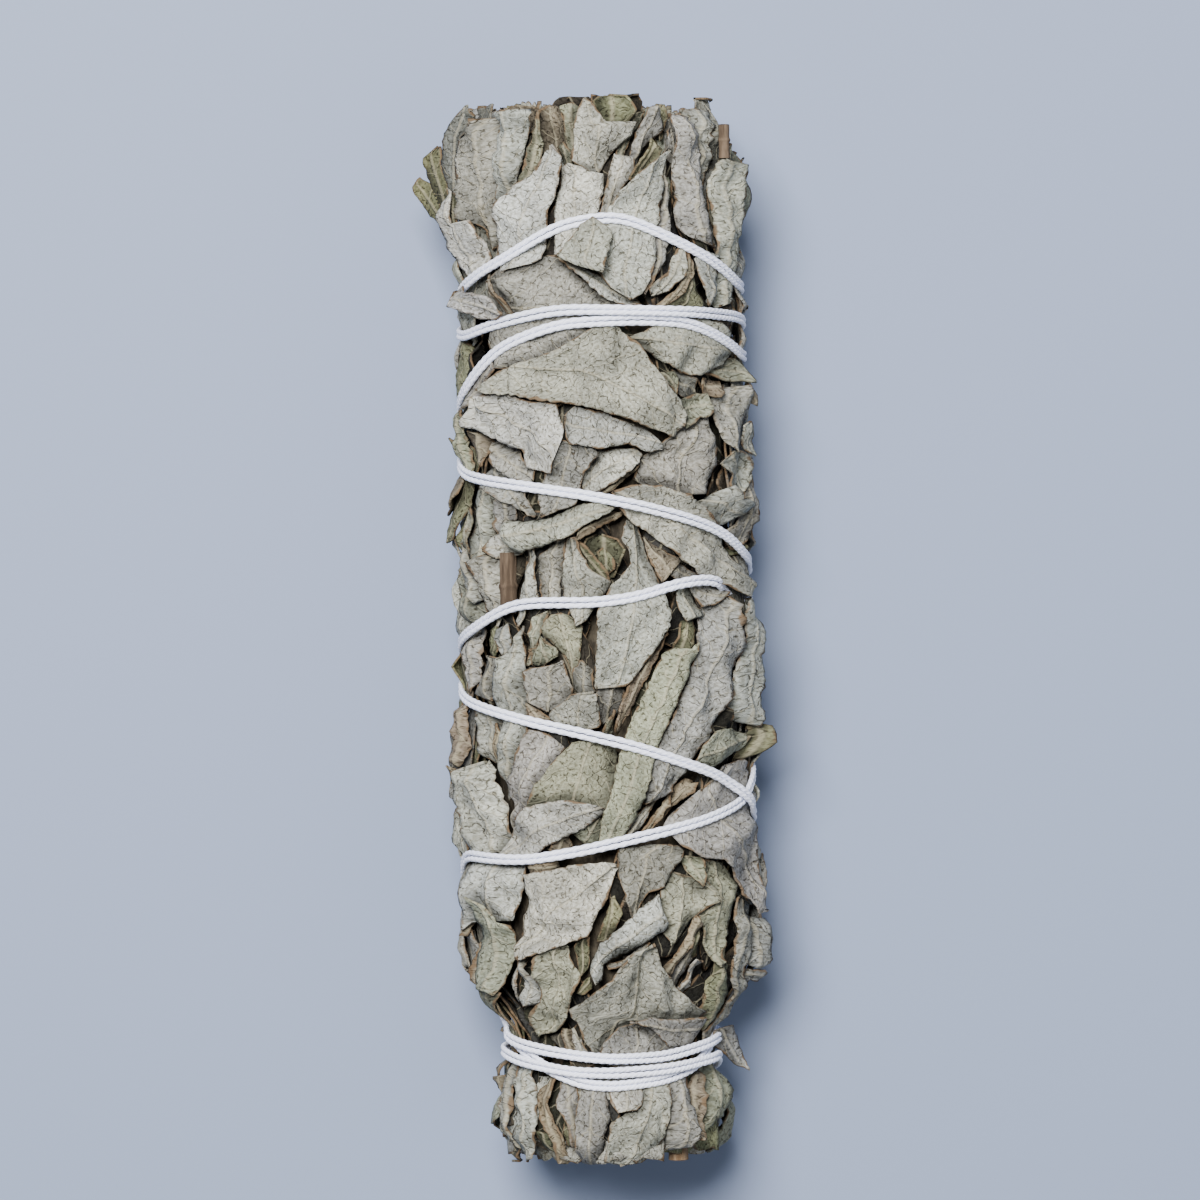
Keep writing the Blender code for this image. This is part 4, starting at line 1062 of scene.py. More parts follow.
    def ripple(self, ahead: Array, side: Array, chance: random.Random) -> Array:
        """Returns the blade's waves and creases."""
        total = np.zeros(np.broadcast(ahead, side).shape)
        for size, amount in ((5.5, 0.16), (3.0, 0.1), (1.5, 0.045)):
            for _ in range(2):
                turned = chance.uniform(0, math.pi)
                phase = chance.uniform(0, 6.28)
                line = ahead * math.cos(turned) + side * math.sin(turned)
                total += amount * np.sin(line * 2 * math.pi / size + phase)
        crease = chance.uniform(-0.3, 0.3) * self.leaf.width
        total += 0.1 * np.abs(side - crease) / max(1.0, self.leaf.width / 4)
        rib = np.exp(-((self.across / 0.22) ** 2)) * 0.09
        return total + rib

    def drape(self, top: HeightMap, covered: Array) -> None:
        """Lays the blade, which is fairly stiff, on what is there already.

        Args:
            top: Heights laid so far, which the blade then raises.
            covered: Share, from 0 to 1, that later leaves cover each vertex.
        """
        ground = top.sample(self.turn, self.y)
        offset = self.turn - self.turn.mean()
        stiff = np.minimum(offset**2 / (2 * ROLL_RADIUS) * 0.6, 1.1)
        calm = (self.rise + stiff) * (1 - 0.8 * covered)
        a = np.broadcast_to(self.along, ground.shape).ravel() / 10 - 0.5
        b = np.broadcast_to(self.across, ground.shape).ravel() / 10
        basis = np.stack([np.ones(a.shape), a, b, a * a, a * b], axis=-1)
        rest = (ground - calm).ravel()
        wanted = rest
        seat = rest
        for _ in range(9):
            seat = basis @ np.linalg.lstsq(basis, wanted, rcond=None)[0]
            wanted = np.maximum(rest, seat)
        seat = seat.reshape(ground.shape)
        height = seat + calm
        over = ground + 0.1 - height
        lump = np.maximum(over, 0.0)
        for _ in range(5):
            lump = np.maximum(over, blurred(lump))
        height = height + lump
        top.raise_to(self.turn, self.y, np.minimum(height, seat + lump + 1.2) + 0.14)
        self.points = height + 0.1

    def press(self, room: Array) -> None:
        """Presses the draped blade in under the thread.

        Args:
            room: Height that the thread leaves at each vertex.
        """
        flare = self.leaf.flare
        most = np.minimum(room, STACK_DEPTH + 1.7 + 2 * flare)
        ratio = np.maximum(self.points, 0.01) / most
        self.points = most * (1 - np.exp(-(ratio**7))) ** (1 / 7) + 0.04 * self.points
        if self.stand is None:
            return
        free = STACK_DEPTH + 2.0 * (room - STACK_DEPTH) + 2.0 * flare
        if flare < 1:
            past = 0.7 * np.maximum(self.stand - STACK_DEPTH - 0.5, 0.0)
            self.points = np.minimum(self.points + past, np.maximum(free, self.points))
        else:
            self.points = np.maximum(self.points, np.minimum(self.stand, free))

    def lie_over(self, room: Array) -> None:
        """Lays the blade over the thread.

        Args:
            room: Height that the thread leaves at each vertex.
        """
        ground = np.minimum(room, STACK_DEPTH + 0.7) + 0.5
        held = ground
        for _ in range(9):
            held = np.maximum(ground, blurred(held))
        self.points = held + 0.25 + self.rise


def blurred(grid: Array) -> Array:
    """Returns a grid with each value averaged with its neighbours."""
    padded = np.pad(grid, 1, mode="edge")
    rows = (padded[:-2] + 2 * padded[1:-1] + padded[2:]) / 4
    return (rows[:, :-2] + 2 * rows[:, 1:-1] + rows[:, 2:]) / 4


class LeafMound:
    """All the leaves, laid in order, as a few objects."""

    def __init__(self, bundle: Bundle, thread: Thread) -> None:
        """Lists the leaves from the innermost out."""
        self.bundle = bundle
        self.thread = thread
        self.sheets: list[Sheet] = []
        self.fill()
        self.flanks()
        self.front()

    def add(self, leaf: Leaf, piece: str, spacing: float = 0.36) -> None:
        """Adds one leaf on top of the others."""
        self.sheets.append(Sheet(leaf, piece, 1000 + len(self.sheets), spacing))

    def random_leaf(
        self, chance: random.Random, turn: float, y: float, tints: tuple[Tint, ...]
    ) -> Leaf:
        """Returns a leaf of no special place."""
        outline = chance.choice((LANCE, OVAL, TIP, STRIP, OVAL, TIP))
        length = chance.uniform(8.0, 15.0)
        width = chance.uniform(3.4, 7.4)
        cup = chance.choice((-20, -40, -60, -110, -150, 40))
        return Leaf(
            turn,
            y,
            chance.choice((-90, 90)) + chance.gauss(0, 28),
            length,
            width,
            outline,
            chance.choice(tints),
            cup=cup,
            left=chance.choice((0, 0, -30, 30)),
            right=chance.choice((0, 0, -30, 30)),
            ragged=chance.uniform(0.2, 0.8),
            wrapped=True,
            bend=chance.uniform(-0.8, 0.8),
        )

    def fill(self) -> None:
        """Adds the leaves packed underneath, which show only in the gaps."""
        chance = random.Random(11)
        for _ in range(PACKED_LEAVES):
            y = chance.uniform(-PACKED_REACH, PACKED_REACH)
            turn = chance.uniform(0, CIRCLE)
            leaf = self.random_leaf(chance, turn, y, (DARK, OLIVE, TAN, MAUVE))
            self.add(leaf, "packed_leaves", 0.6)

    def flanks(self) -> None:
        """Adds the leaves of the sides and the underside."""
        chance = random.Random(23)
        tints = (LIGHT, LIGHT, MAUVE, SAGE, PALE, MAUVE, OLIVE, TAN)
        for layer in range(FLANK_LAYERS):
            for row in range(FLANK_ROWS):
                for column in range(FLANK_COLUMNS):
                    turn = FLANK_START + (column + chance.uniform(0, 1)) * FLANK_WIDTH / FLANK_COLUMNS
                    y = -FLANK_REACH + (row + chance.uniform(0, 1)) * 2 * FLANK_REACH / FLANK_ROWS
                    if layer == FLANK_LAYERS - 1 and chance.random() < 0.45:
                        continue
                    piece = "flank_leaves" if column in (0, 1, 4, 5) else "underside_leaves"
                    self.add(self.random_leaf(chance, turn, y, tints), piece, 0.5)

    def front(self) -> None:
        """Adds the leaves seen from above."""
        for leaves, piece in (
            (STALK_END, "stalk_end_leaves"),
            (BOTTOM, "lower_leaves"),
            (LOWER_LEFT, "lower_leaves"),
            (LOWER_RIGHT, "lower_leaves"),
            (MIDDLE, "upper_leaves"),
            (UPPER, "upper_leaves"),
            (TOP_END, "leafy_end_leaves"),
        ):
            for leaf in leaves:
                self.add(leaf, piece)

    def lay(self) -> None:
        """Drapes every leaf and presses them in under the thread."""
        order = HeightMap(-1.0)
        for number, sheet in enumerate(self.sheets):
            sheet.plan(self.bundle)
            order.raise_to(sheet.turn, sheet.y, np.full(sheet.turn.shape, float(number)))
        top = HeightMap(0.3)
        laid: list[Sheet] = []
        for packed, mean in ((True, PACKED_TOP), (False, LEAVES_TOP)):
            for number, sheet in enumerate(self.sheets):
                if sheet.leaf.over or (sheet.piece == "packed_leaves") is not packed:
                    continue
                i, j = (np.round(cell).astype(int) for cell in order.cells(sheet.turn, sheet.y))
                later = order.values[i % order.rounds, j] > number
                sheet.covered = blurred(blurred(later.astype(float)))
                sheet.drape(top, sheet.covered)
                laid.append(sheet)
            scale = self.thread.scale(top, mean, random.Random(5))
            top.values = top.values * scale.values
            for sheet in laid:
                sheet.points = sheet.points * scale.sample(sheet.turn, sheet.y)
        limit = self.thread.limit()
        for sheet in self.sheets:
            room = limit.sample(sheet.turn, sheet.y)
            if sheet.leaf.over:
                sheet.lie_over(room)
            else:
                sheet.press(room)
        heights = np.concatenate([sheet.points.ravel() for sheet in self.sheets])
        log.info("leaf heights from %.2f to %.2f", heights.min(), heights.max())

    def objects(self) -> list[bpy.types.Object]:
        """Returns one object for each piece, made of grids whose vertices are then moved."""
        made = []
        for piece in dict.fromkeys(sheet.piece for sheet in self.sheets):
            sheets = [sheet for sheet in self.sheets if sheet.piece == piece]
            made.append(sheet_object(piece, sheets, self.bundle))
        return made


def leaf_colours_and_shade(sheet: Sheet) -> Array:
    """Returns the colour of each vertex, with painted shade where later leaves cover it, on the packed
    leaves and at the stalk end.
    """
    chance = random.Random(sheet.seed + 5)
    shade = chance.uniform(0.86, 1.14)
    # Painted shade: the packed leaves, seen only in the gaps, and the leaves of the stalk end are
    # darkened
    shade *= PACKED_SHADE if sheet.piece == "packed_leaves" else 1.0
    shade *= STALK_END_SHADE if sheet.leaf.y < STALK_END_START else 1.0
    redder = 1 + chance.uniform(-0.03, 0.03)
    bluer = 1 + chance.uniform(-0.06, 0.06)
    colour = np.array(sheet.leaf.tint.value) * shade * (redder, 1.0, bluer)
    # Painted shade along the edges of the leaves that lie over this one
    hidden = np.broadcast_to(sheet.covered, sheet.shape).ravel()
    wear_and_painted_shade = 1 - HIDDEN_SHADE * np.clip(hidden / 0.5, 0, 1) ** 0.8
    return np.column_stack([wear_and_painted_shade[:, None] * colour, np.ones(len(wear_and_painted_shade))])


def sheet_object(
    name: str, sheets: list[Sheet], bundle: Bundle, thickness: float = LEAF_THICKNESS
) -> bpy.types.Object:
    """Returns one object of many sheets.

    Args:
        name: Name of the piece.
        sheets: The sheets, already draped.
        bundle: The surface that their places refer to.
        thickness: Thickness of each leaf.
    """
    points = []
    place = []
    grain = []
    margin = []
    # Each leaf's colour, with its painted shade multiplied in
    tint = []
    for sheet in sheets:
        spot = sheet.points
        if spot.shape == sheet.shape:
            spot = bundle.place(sheet.turn, sheet.y, spot)
        count = sheet.shape[0] * sheet.shape[1]
        points.append(spot.reshape(-1, 3))
        seeds = np.full(count, float(sheet.seed % 97))
        place.append(np.stack([sheet.along.ravel(), sheet.across.ravel(), seeds], axis=-1))
        grain.append(place[-1] * (1.0, 1.0, 0.0) + seeds[:, None] * GRAIN_SHIFT)
        margin.append(np.broadcast_to(sheet.margin, sheet.shape).ravel())
        tint.append(leaf_colours_and_shade(sheet))
    everything = np.concatenate(points)
    everything[:, 2] = np.maximum(everything[:, 2], LOWEST_POINT)
    made = grids_object(name, [sheet.shape for sheet in sheets], everything)
    note(made, "leaf_place", "FLOAT_VECTOR", "vector", np.concatenate(place))
    note(made, "leaf_grain", "FLOAT_VECTOR", "vector", np.concatenate(grain))
    note(made, "leaf_margin", "FLOAT", "value", np.concatenate(margin))
    note(made, "leaf_colour_and_shade", "FLOAT_COLOR", "color", np.concatenate(tint))
    thick = made.modifiers.new("thickness", "SOLIDIFY")
    thick.thickness = thickness * MM
    thick.offset = 1.0
    return made


class EndPack:
    """Leaves rolled and folded side by side, seen end on at the two ends."""

    def __init__(self, bundle: Bundle, y_root: float, y_tip: float, seed: int) -> None:
        """Keeps the stretch that the leaves stand in."""
        self.bundle = bundle
        self.y_root = y_root
        self.y_tip = y_tip
        self.seed = seed

    def curl(self, chance: random.Random, number: int) -> Array:
        """Returns the section of one leaf across the end, as shares of the bundle's half axes."""
        if number < END_ROLLS:
            centre = chance.uniform(0, 2 * math.pi)
            away = math.sqrt(chance.uniform(0.0, 0.62))
            turns = chance.uniform(1.1, 2.1)
            t = np.linspace(0, 1, 44)
            angle = chance.uniform(0, 6.28) + turns * 2 * math.pi * t
            radius = (0.035 + chance.uniform(0.09, 0.15) * t) * (1 + 0.12 * np.sin(2 * angle))
            across = away * math.cos(centre) + radius * np.cos(angle)
            return np.stack([across, away * math.sin(centre) + radius * np.sin(angle)], axis=-1)
        middle = chance.uniform(0, 2 * math.pi)
        span = chance.uniform(0.5, 1.5)
        away = chance.uniform(0.25, 0.95)
        t = np.linspace(-0.5, 0.5, 30)
        angle = middle + span * t
        drift = chance.uniform(-0.16, 0.16)
        turned = 0.05 * (2 * t) ** 2 * chance.choice((-1, 1))
        radius = away + drift * t + 0.03 * np.sin(9 * t + middle) + turned
        return np.stack([radius * np.cos(angle), radius * np.sin(angle)], axis=-1)

    def sheets(self) -> list[Sheet]:
        """Returns the leaves as sheets with finished points."""
        chance = random.Random(self.seed)
        made = []
        for number in range(END_LEAVES):
            line = self.curl(chance, number)
            reach = np.hypot(line[:, 0], line[:, 1])
            line = line * np.minimum(1.0, 0.96 / np.maximum(reach, 1e-6))[:, None]
            short = chance.uniform(0.0, 2.6)
            sign = 1.0 if self.y_tip > self.y_root else -1.0
            tear = 0.4 * noise_rows(len(line), 2.0, chance)
            u = np.linspace(0, 1, END_ROWS)[:, None]
            y = self.y_root + u * (self.y_tip - sign * short - self.y_root + sign * tear[None, :])
            y = np.clip(y, -END_REACH, END_REACH)
            wide, tall = self.bundle.half_axes(y)
            wave = 1 + 0.02 * np.sin(6 * u + number)
            x = (wide - 0.5) * line[None, :, 0] * wave + CENTRE_SHIFT
            z = AXIS_HEIGHT + (tall - 0.5) * line[None, :, 1] * wave
            tint = chance.choice((LIGHT, MAUVE, SAGE, PALE, OLIVE, TAN, LIGHT))
            leaf = Leaf(0, 0, 0, 9, 6, STRIP, tint)
            sheet = Sheet(leaf, "ends", self.seed * 100 + number)
            sheet.shape = (END_ROWS, len(line))
            sheet.points = np.stack([x, y, z], axis=-1).reshape(-1, 3)
            steps = np.hypot(*np.diff(line, axis=0).T) * END_HALF_SIZE
            length = np.concatenate([[0.0], np.cumsum(steps)])
            sheet.along = np.broadcast_to(np.abs(y - self.y_root), sheet.shape)
            sheet.across = np.broadcast_to(length[None, :] - length[-1] / 2, sheet.shape)
            edge = np.minimum(length, length[-1] - length)[None, :]
            sheet.margin = np.minimum(edge, (1 - u) * 8)
            made.append(sheet)
        return made


class Cotton:
    """The two strands of the thread as twisted yarn."""

    def __init__(self, bundle: Bundle, thread: Thread) -> None:
        """Keeps the surface and the route."""
        self.bundle = bundle
        self.thread = thread

    def middle(self) -> tuple[Array, Array]:
        """Returns the pair's middle line and the direction out of the bundle along it."""
        thread = self.thread
        travelled = thread.travelled()
        even = np.arange(0, travelled[-1], RING_SPACING)
        turn = np.interp(even, travelled, thread.turns)
        y = np.interp(even, travelled, thread.ys)
        lift = smoothed(np.interp(even, travelled, thread.lifts), 9, 1.0, 4.0)
        height = STACK_DEPTH + 0.2 + lift
        here = self.bundle.place(turn, y, height)
        out = self.bundle.place(turn, y, height + 1.0) - here
        out /= np.linalg.norm(out, axis=1)[:, None]
        return here, out

    def strand(self, name: str, side: float, phase: float) -> bpy.types.Object:
        """Returns one strand as a tube of two plies twisted together.

        Args:
            name: Name of the piece.
            side: Distance of the strand from the pair's middle line.
            phase: Where its twist starts.
        """
        here, out = self.middle()
        ahead = np.gradient(here, axis=0)
        ahead /= np.linalg.norm(ahead, axis=1)[:, None]
        beside = np.cross(out, ahead)
        beside /= np.linalg.norm(beside, axis=1)[:, None]
        normal = np.cross(ahead, beside)
        count = len(here)
        wander = np.sin(np.arange(count) * RING_SPACING / 3.1 + phase) * 0.03
        line = here + (side + wander)[:, None] * beside
        sides = 8
        angles = np.arange(sides) * 2 * math.pi / sides
        twist = phase + np.arange(count) * RING_SPACING * 2 * math.pi / TWIST_LENGTH
        lobes = 0.8 + 0.28 * np.abs(np.cos(angles[None, :] - twist[:, None]))
        radius = THREAD_RADIUS * lobes
        radius[0] *= 0.4
        radius[-1] *= 0.4
        ring = (
            line[:, None, :]
            + (radius * np.cos(angles))[..., None] * beside[:, None, :]
            + (radius * np.sin(angles))[..., None] * normal[:, None, :]
        )
        ring = np.concatenate([ring, ring[:, :1]], axis=1)
        made = grids_object(name, [(count, sides + 1)], ring)
        place = np.stack(
            [
                np.repeat(np.arange(count) * RING_SPACING, sides + 1),
                np.tile(np.append(angles, 2 * math.pi) * THREAD_RADIUS, count),
                np.full(count * (sides + 1), phase),
            ],
            axis=-1,
        )
        note(made, "thread_place", "FLOAT_VECTOR", "vector", place)
        return made


def stalk_object(
    name: str, x: float, height: float, radius: float, root: float, end: float
) -> bpy.types.Object:
    """Returns a woody stalk with ribs, a knuckle and a cut end.

    Args:
        name: Name of the stalk.
        x: Its place across the bundle.
        height: Height of its middle line.
        radius: Its radius.
        root: Where it starts along the bundle.
        end: Where it is cut off.
    """
    chance = random.Random(name)
    rows, sides = 60, 28
    angles = np.arange(sides + 1) * 2 * math.pi / sides
    ribs = 1 + 0.035 * np.sin(7 * angles + 1.0) + 0.02 * np.sin(13 * angles)
    share = np.linspace(0, 1, rows)
    knuckle = 1 + 0.16 * np.exp(-(((share - 0.55) / 0.05) ** 2)) + 0.03 * noise_rows(rows, 6, chance)
    inward = np.array([0.25, 0.6, 0.86, 1.0])
    y = np.concatenate([root + (end - root) * share, np.full(4, end)])
    scale = np.concatenate([knuckle * 0.94, 0.94 * inward[::-1]])
    y[-4:] += np.sign(end - root) * np.array([0.0, 0.05, 0.02, -0.1])
    ring_x = x + CENTRE_SHIFT + radius * scale[:, None] * ribs * np.cos(angles)
    ring_z = height + radius * scale[:, None] * ribs * np.sin(angles)
    ring_y = np.broadcast_to(y[:, None], ring_x.shape)
    points = np.stack([ring_x, ring_y, ring_z], axis=-1)
    return grids_object(f"{name}_wood", [ring_x.shape], points)


def core_object(bundle: Bundle) -> bpy.types.Object:
    """Returns the packed core in the middle, which closes the gaps between leaves; its near-black colour
    is painted shade for the gaps.
    """
    rows, sides = 90, 64
    y = np.linspace(*CORE_ENDS, rows)
    turn = np.linspace(0, CIRCLE, sides + 1)
    chance = random.Random(3)
    height = 0.2 + 0.25 * np.array([noise_rows(sides + 1, 3, chance) for _ in range(rows)])
    height[:, -1] = height[:, 0]
    shrink = np.ones(rows)
    shrink[0] = shrink[-1] = 0.02
    y = np.broadcast_to(y[:, None], height.shape)
    points = bundle.place(np.broadcast_to(turn, height.shape), y, height)
    axis = np.array([CENTRE_SHIFT, 0.0, AXIS_HEIGHT])
    middle = points * np.array([0.0, 1.0, 0.0]) + axis * np.array([1.0, 0.0, 1.0])
    points = middle + (points - middle) * shrink[:, None, None]
    return grids_object("packed_core", [height.shape], points)


class Nodes:
    """Adds and links shader nodes in one tree."""

    def __init__(self, tree: bpy.types.NodeTree, dimensions: str = "2D") -> None:
        """Keeps the tree and the number of dimensions of its noise."""
        self.tree = tree
        self.dimensions = dimensions

    def add(self, kind: str, values: dict | None = None, **settings) -> bpy.types.Node:
        """Adds a node, sets its options and then its inputs.

        Args:
            kind: Node type.
            values: Input name or number to a value, or to an output socket to link.
            settings: Options of the node.
        """
        node = self.tree.nodes.new(kind)
        for key, value in settings.items():
            setattr(node, key, value)
        for key, value in (values or {}).items():
            if isinstance(value, bpy.types.NodeSocket):
                self.tree.links.new(value, node.inputs[key])
            else:
                node.inputs[key].default_value = value
        return node

    def math(self, operation: str, a, b=0.0) -> bpy.types.NodeSocket:
        """Returns the result of a sum on two values or sockets."""
        return self.add("ShaderNodeMath", {0: a, 1: b}, operation=operation).outputs[0]

    def times(self, a, b) -> bpy.types.NodeSocket:
        """Returns the product of two values or sockets."""
        return self.math("MULTIPLY", a, b)

    def read(self, label: str, output: str = "Vector") -> bpy.types.NodeSocket:
        """Returns an attribute of the mesh."""
        return self.add("ShaderNodeAttribute", attribute_name=label).outputs[output]

    def ramp(
        self, value, low: float, high: float, first: float = 0.0, last: float = 1.0
    ) -> bpy.types.NodeSocket:
        """Returns value mapped smoothly from low..high to first..last."""
        node = self.add(
            "ShaderNodeMapRange",
            {"Value": value, "From Min": low, "From Max": high, "To Min": first, "To Max": last},
            interpolation_type="SMOOTHSTEP",
        )
        return node.outputs["Result"]

    def mix(self, share, a, b, blend: str = "MIX") -> bpy.types.NodeSocket:
        """Returns two colours mixed."""
        node = self.add("ShaderNodeMix", {0: share, 6: a, 7: b}, data_type="RGBA", blend_type=blend)
        return node.outputs[2]

    def noise(
        self, vector, scale: float, detail: float = 2.0, rough: float = 0.55
    ) -> bpy.types.NodeSocket:
        """Returns noise at a scale per millimetre."""
        values = {"Vector": vector, "Scale": scale, "Detail": detail, "Roughness": rough}
        return self.add("ShaderNodeTexNoise", values, noise_dimensions=self.dimensions).outputs[0]

    def edges(self, vector, scale: float) -> bpy.types.NodeSocket:
        """Returns the distance to the nearest wall of a net of cells."""
        values = {"Vector": vector, "Scale": scale}
        node = self.add(
            "ShaderNodeTexVoronoi", values, feature="DISTANCE_TO_EDGE", voronoi_dimensions="2D"
        )
        return node.outputs[0]


def group(name: str, inputs: tuple, outputs: tuple) -> tuple[bpy.types.NodeTree, Nodes, dict, dict]:
    """Returns a new node group with its sockets."""
    tree = bpy.data.node_groups.new(name, "ShaderNodeTree")
    for label, kind in inputs:
        tree.interface.new_socket(label, in_out="INPUT", socket_type=kind)
    for label, kind in outputs:
        tree.interface.new_socket(label, in_out="OUTPUT", socket_type=kind)
    nodes = Nodes(tree)
    entry = tree.nodes.new("NodeGroupInput")
    leave = tree.nodes.new("NodeGroupOutput")
    return tree, nodes, entry.outputs, leave.inputs


def felt_group() -> bpy.types.NodeTree:
    """Returns the fine felted, pebbled grain of dried sage."""
    tree, nodes, given, wanted = group(
        "felt_grain",
        (("Place", "NodeSocketVector"),),
        (("Fleck", "NodeSocketFloat"), ("Height", "NodeSocketFloat"), ("Cloud", "NodeSocketFloat")),
    )
    place = given["Place"]
    fine = nodes.noise(place, 3.4, 2.0, 0.65)
    coarse = nodes.noise(place, 0.9, 2.0, 0.6)
    height = nodes.math("ADD", nodes.times(fine, 0.7), nodes.times(coarse, 0.5))
    tree.links.new(nodes.ramp(fine, 0.3, 0.68), wanted["Fleck"])
    tree.links.new(height, wanted["Height"])
    tree.links.new(nodes.noise(place, 0.22, 3.0, 0.6), wanted["Cloud"])
    return tree


def vein_group() -> bpy.types.NodeTree:
    """Returns masks of a leaf's midrib, side veins, net of small veins and cracks."""
    tree, nodes, given, wanted = group(
        "leaf_veins",
        (("Place", "NodeSocketVector"), ("Shifted", "NodeSocketVector")),
        (
            ("Midrib", "NodeSocketFloat"),
            ("Side", "NodeSocketFloat"),
            ("Net", "NodeSocketFloat"),
            ("Crack", "NodeSocketFloat"),
        ),
    )
    parts = nodes.add("ShaderNodeSeparateXYZ", {0: given["Place"]}).outputs
    across = nodes.math("ABSOLUTE", parts[1])
    bent = nodes.times(nodes.noise(given["Shifted"], 0.5, 2.0), 1.6)
    line = nodes.math("ADD", nodes.math("SUBTRACT", parts[0], nodes.times(across, 1.05)), bent)
    wave = nodes.math("PINGPONG", line, 1.15)
    tree.links.new(nodes.ramp(across, 0.04, 0.22, 1.0, 0.0), wanted["Midrib"])
    tree.links.new(nodes.ramp(wave, 0.0, 0.12, 1.0, 0.0), wanted["Side"])
    wobbling = {"Vector": given["Shifted"], "Scale": 1.2, "Detail": 2.0}
    wobble = nodes.add("ShaderNodeTexNoise", wobbling, noise_dimensions="2D").outputs[1]
    moved = {0: given["Shifted"], 1: wobble}
    twisted = nodes.add("ShaderNodeVectorMath", moved, operation="ADD").outputs[0]
    net = nodes.ramp(nodes.edges(twisted, 1.1), 0.0, 0.085, 1.0, 0.0)
    broken = nodes.ramp(nodes.noise(given["Shifted"], 2.3, 1.0), 0.45, 0.53)
    tree.links.new(nodes.times(net, broken), wanted["Net"])
    thin = nodes.ramp(nodes.edges(twisted, 0.27), 0.0, 0.012, 1.0, 0.0)
    patchy = nodes.ramp(nodes.noise(given["Shifted"], 0.13, 1.0), 0.62, 0.68)
    tree.links.new(nodes.times(thin, patchy), wanted["Crack"])
    return tree


@dataclass(frozen=True)
class LeafFinish:
    """Felted dried leaf with veins, a tan margin and fine cracks."""

    margin_colour: tuple = (0.12, 0.08, 0.045, 1.0)
    vein_colour: tuple = (0.40, 0.36, 0.25, 1.0)
    crack_colour: tuple = (0.045, 0.035, 0.022, 1.0)
    fleck_tone: tuple = (0.48, 0.46, 0.40, 1.0)
    line_tone: tuple = (0.20, 0.175, 0.13, 1.0)
    fleck: float = 0.85
    net: float = 0.9
    side_vein: float = 0.3
    midrib: float = 0.3
    roughness: float = 0.88
    bump: float = 1.0

    def material(self, felt: bpy.types.NodeTree, veins: bpy.types.NodeTree) -> bpy.types.Material:
        """Returns the leaf material."""
        made = bpy.data.materials.new("dried_sage_leaf")
        made.use_nodes = True
        tree = made.node_tree
        nodes = Nodes(tree)
        shader = tree.nodes["Principled BSDF"]
        place = nodes.read("leaf_place")
        margin = nodes.read("leaf_margin", "Fac")
        # The leaves' colours, with painted shade already multiplied in
        tint = nodes.read("leaf_colour_and_shade", "Color")
        shifted = nodes.read("leaf_grain")
        grain = nodes.add("ShaderNodeGroup", node_tree=felt)
        tree.links.new(shifted, grain.inputs[0])
        mesh_of_veins = nodes.add("ShaderNodeGroup", node_tree=veins)
        tree.links.new(place, mesh_of_veins.inputs[0])
        tree.links.new(shifted, mesh_of_veins.inputs[1])
        midrib, side, net, crack = mesh_of_veins.outputs
        cloud = nodes.ramp(grain.outputs["Cloud"], 0.3, 0.7, 0.89, 1.38)
        cloudy = nodes.add("ShaderNodeCombineColor", {0: cloud, 1: cloud, 2: cloud}).outputs[0]
        colour = nodes.mix(1.0, tint, cloudy, "MULTIPLY")
        dark = nodes.mix(1.0, colour, self.fleck_tone, "MULTIPLY")
        fleck = nodes.times(nodes.math("SUBTRACT", 1.0, grain.outputs["Fleck"]), self.fleck)
        colour = nodes.mix(fleck, colour, dark)
        lined = nodes.mix(1.0, colour, self.line_tone, "MULTIPLY")
        colour = nodes.mix(nodes.times(net, self.net), colour, lined)
        colour = nodes.mix(nodes.times(side, self.side_vein), colour, self.vein_colour)
        colour = nodes.mix(nodes.times(midrib, self.midrib), colour, self.vein_colour)
        # The broken brown margin is the dried leaf's own wear
        wear_and_painted_shade = nodes.math("ADD", margin, nodes.times(nodes.noise(shifted, 0.8, 2.0), -0.7))
        edge = nodes.ramp(wear_and_painted_shade, -0.34, -0.2, 1.0, 0.0)
        broken = nodes.ramp(nodes.noise(shifted, 0.45, 2.0), 0.4, 0.55, 0.25, 0.95)
        colour = nodes.mix(nodes.times(edge, broken), colour, self.margin_colour)
        colour = nodes.mix(crack, colour, self.crack_colour)
        height = nodes.math("ADD", grain.outputs["Height"], nodes.times(side, 0.35))
        height = nodes.math("ADD", height, nodes.times(midrib, 0.7))
        height = nodes.math("SUBTRACT", height, nodes.times(crack, 0.9))
        height = nodes.math("SUBTRACT", height, nodes.times(net, 0.45))
        relief = {"Height": height, "Strength": self.bump, "Distance": 0.14 * MM}
        bump = nodes.add("ShaderNodeBump", relief)
        tree.links.new(colour, shader.inputs["Base Color"])
        tree.links.new(bump.outputs[0], shader.inputs["Normal"])
        shader.inputs["Roughness"].default_value = self.roughness
        shader.inputs["Specular IOR Level"].default_value = 0.22
        return made


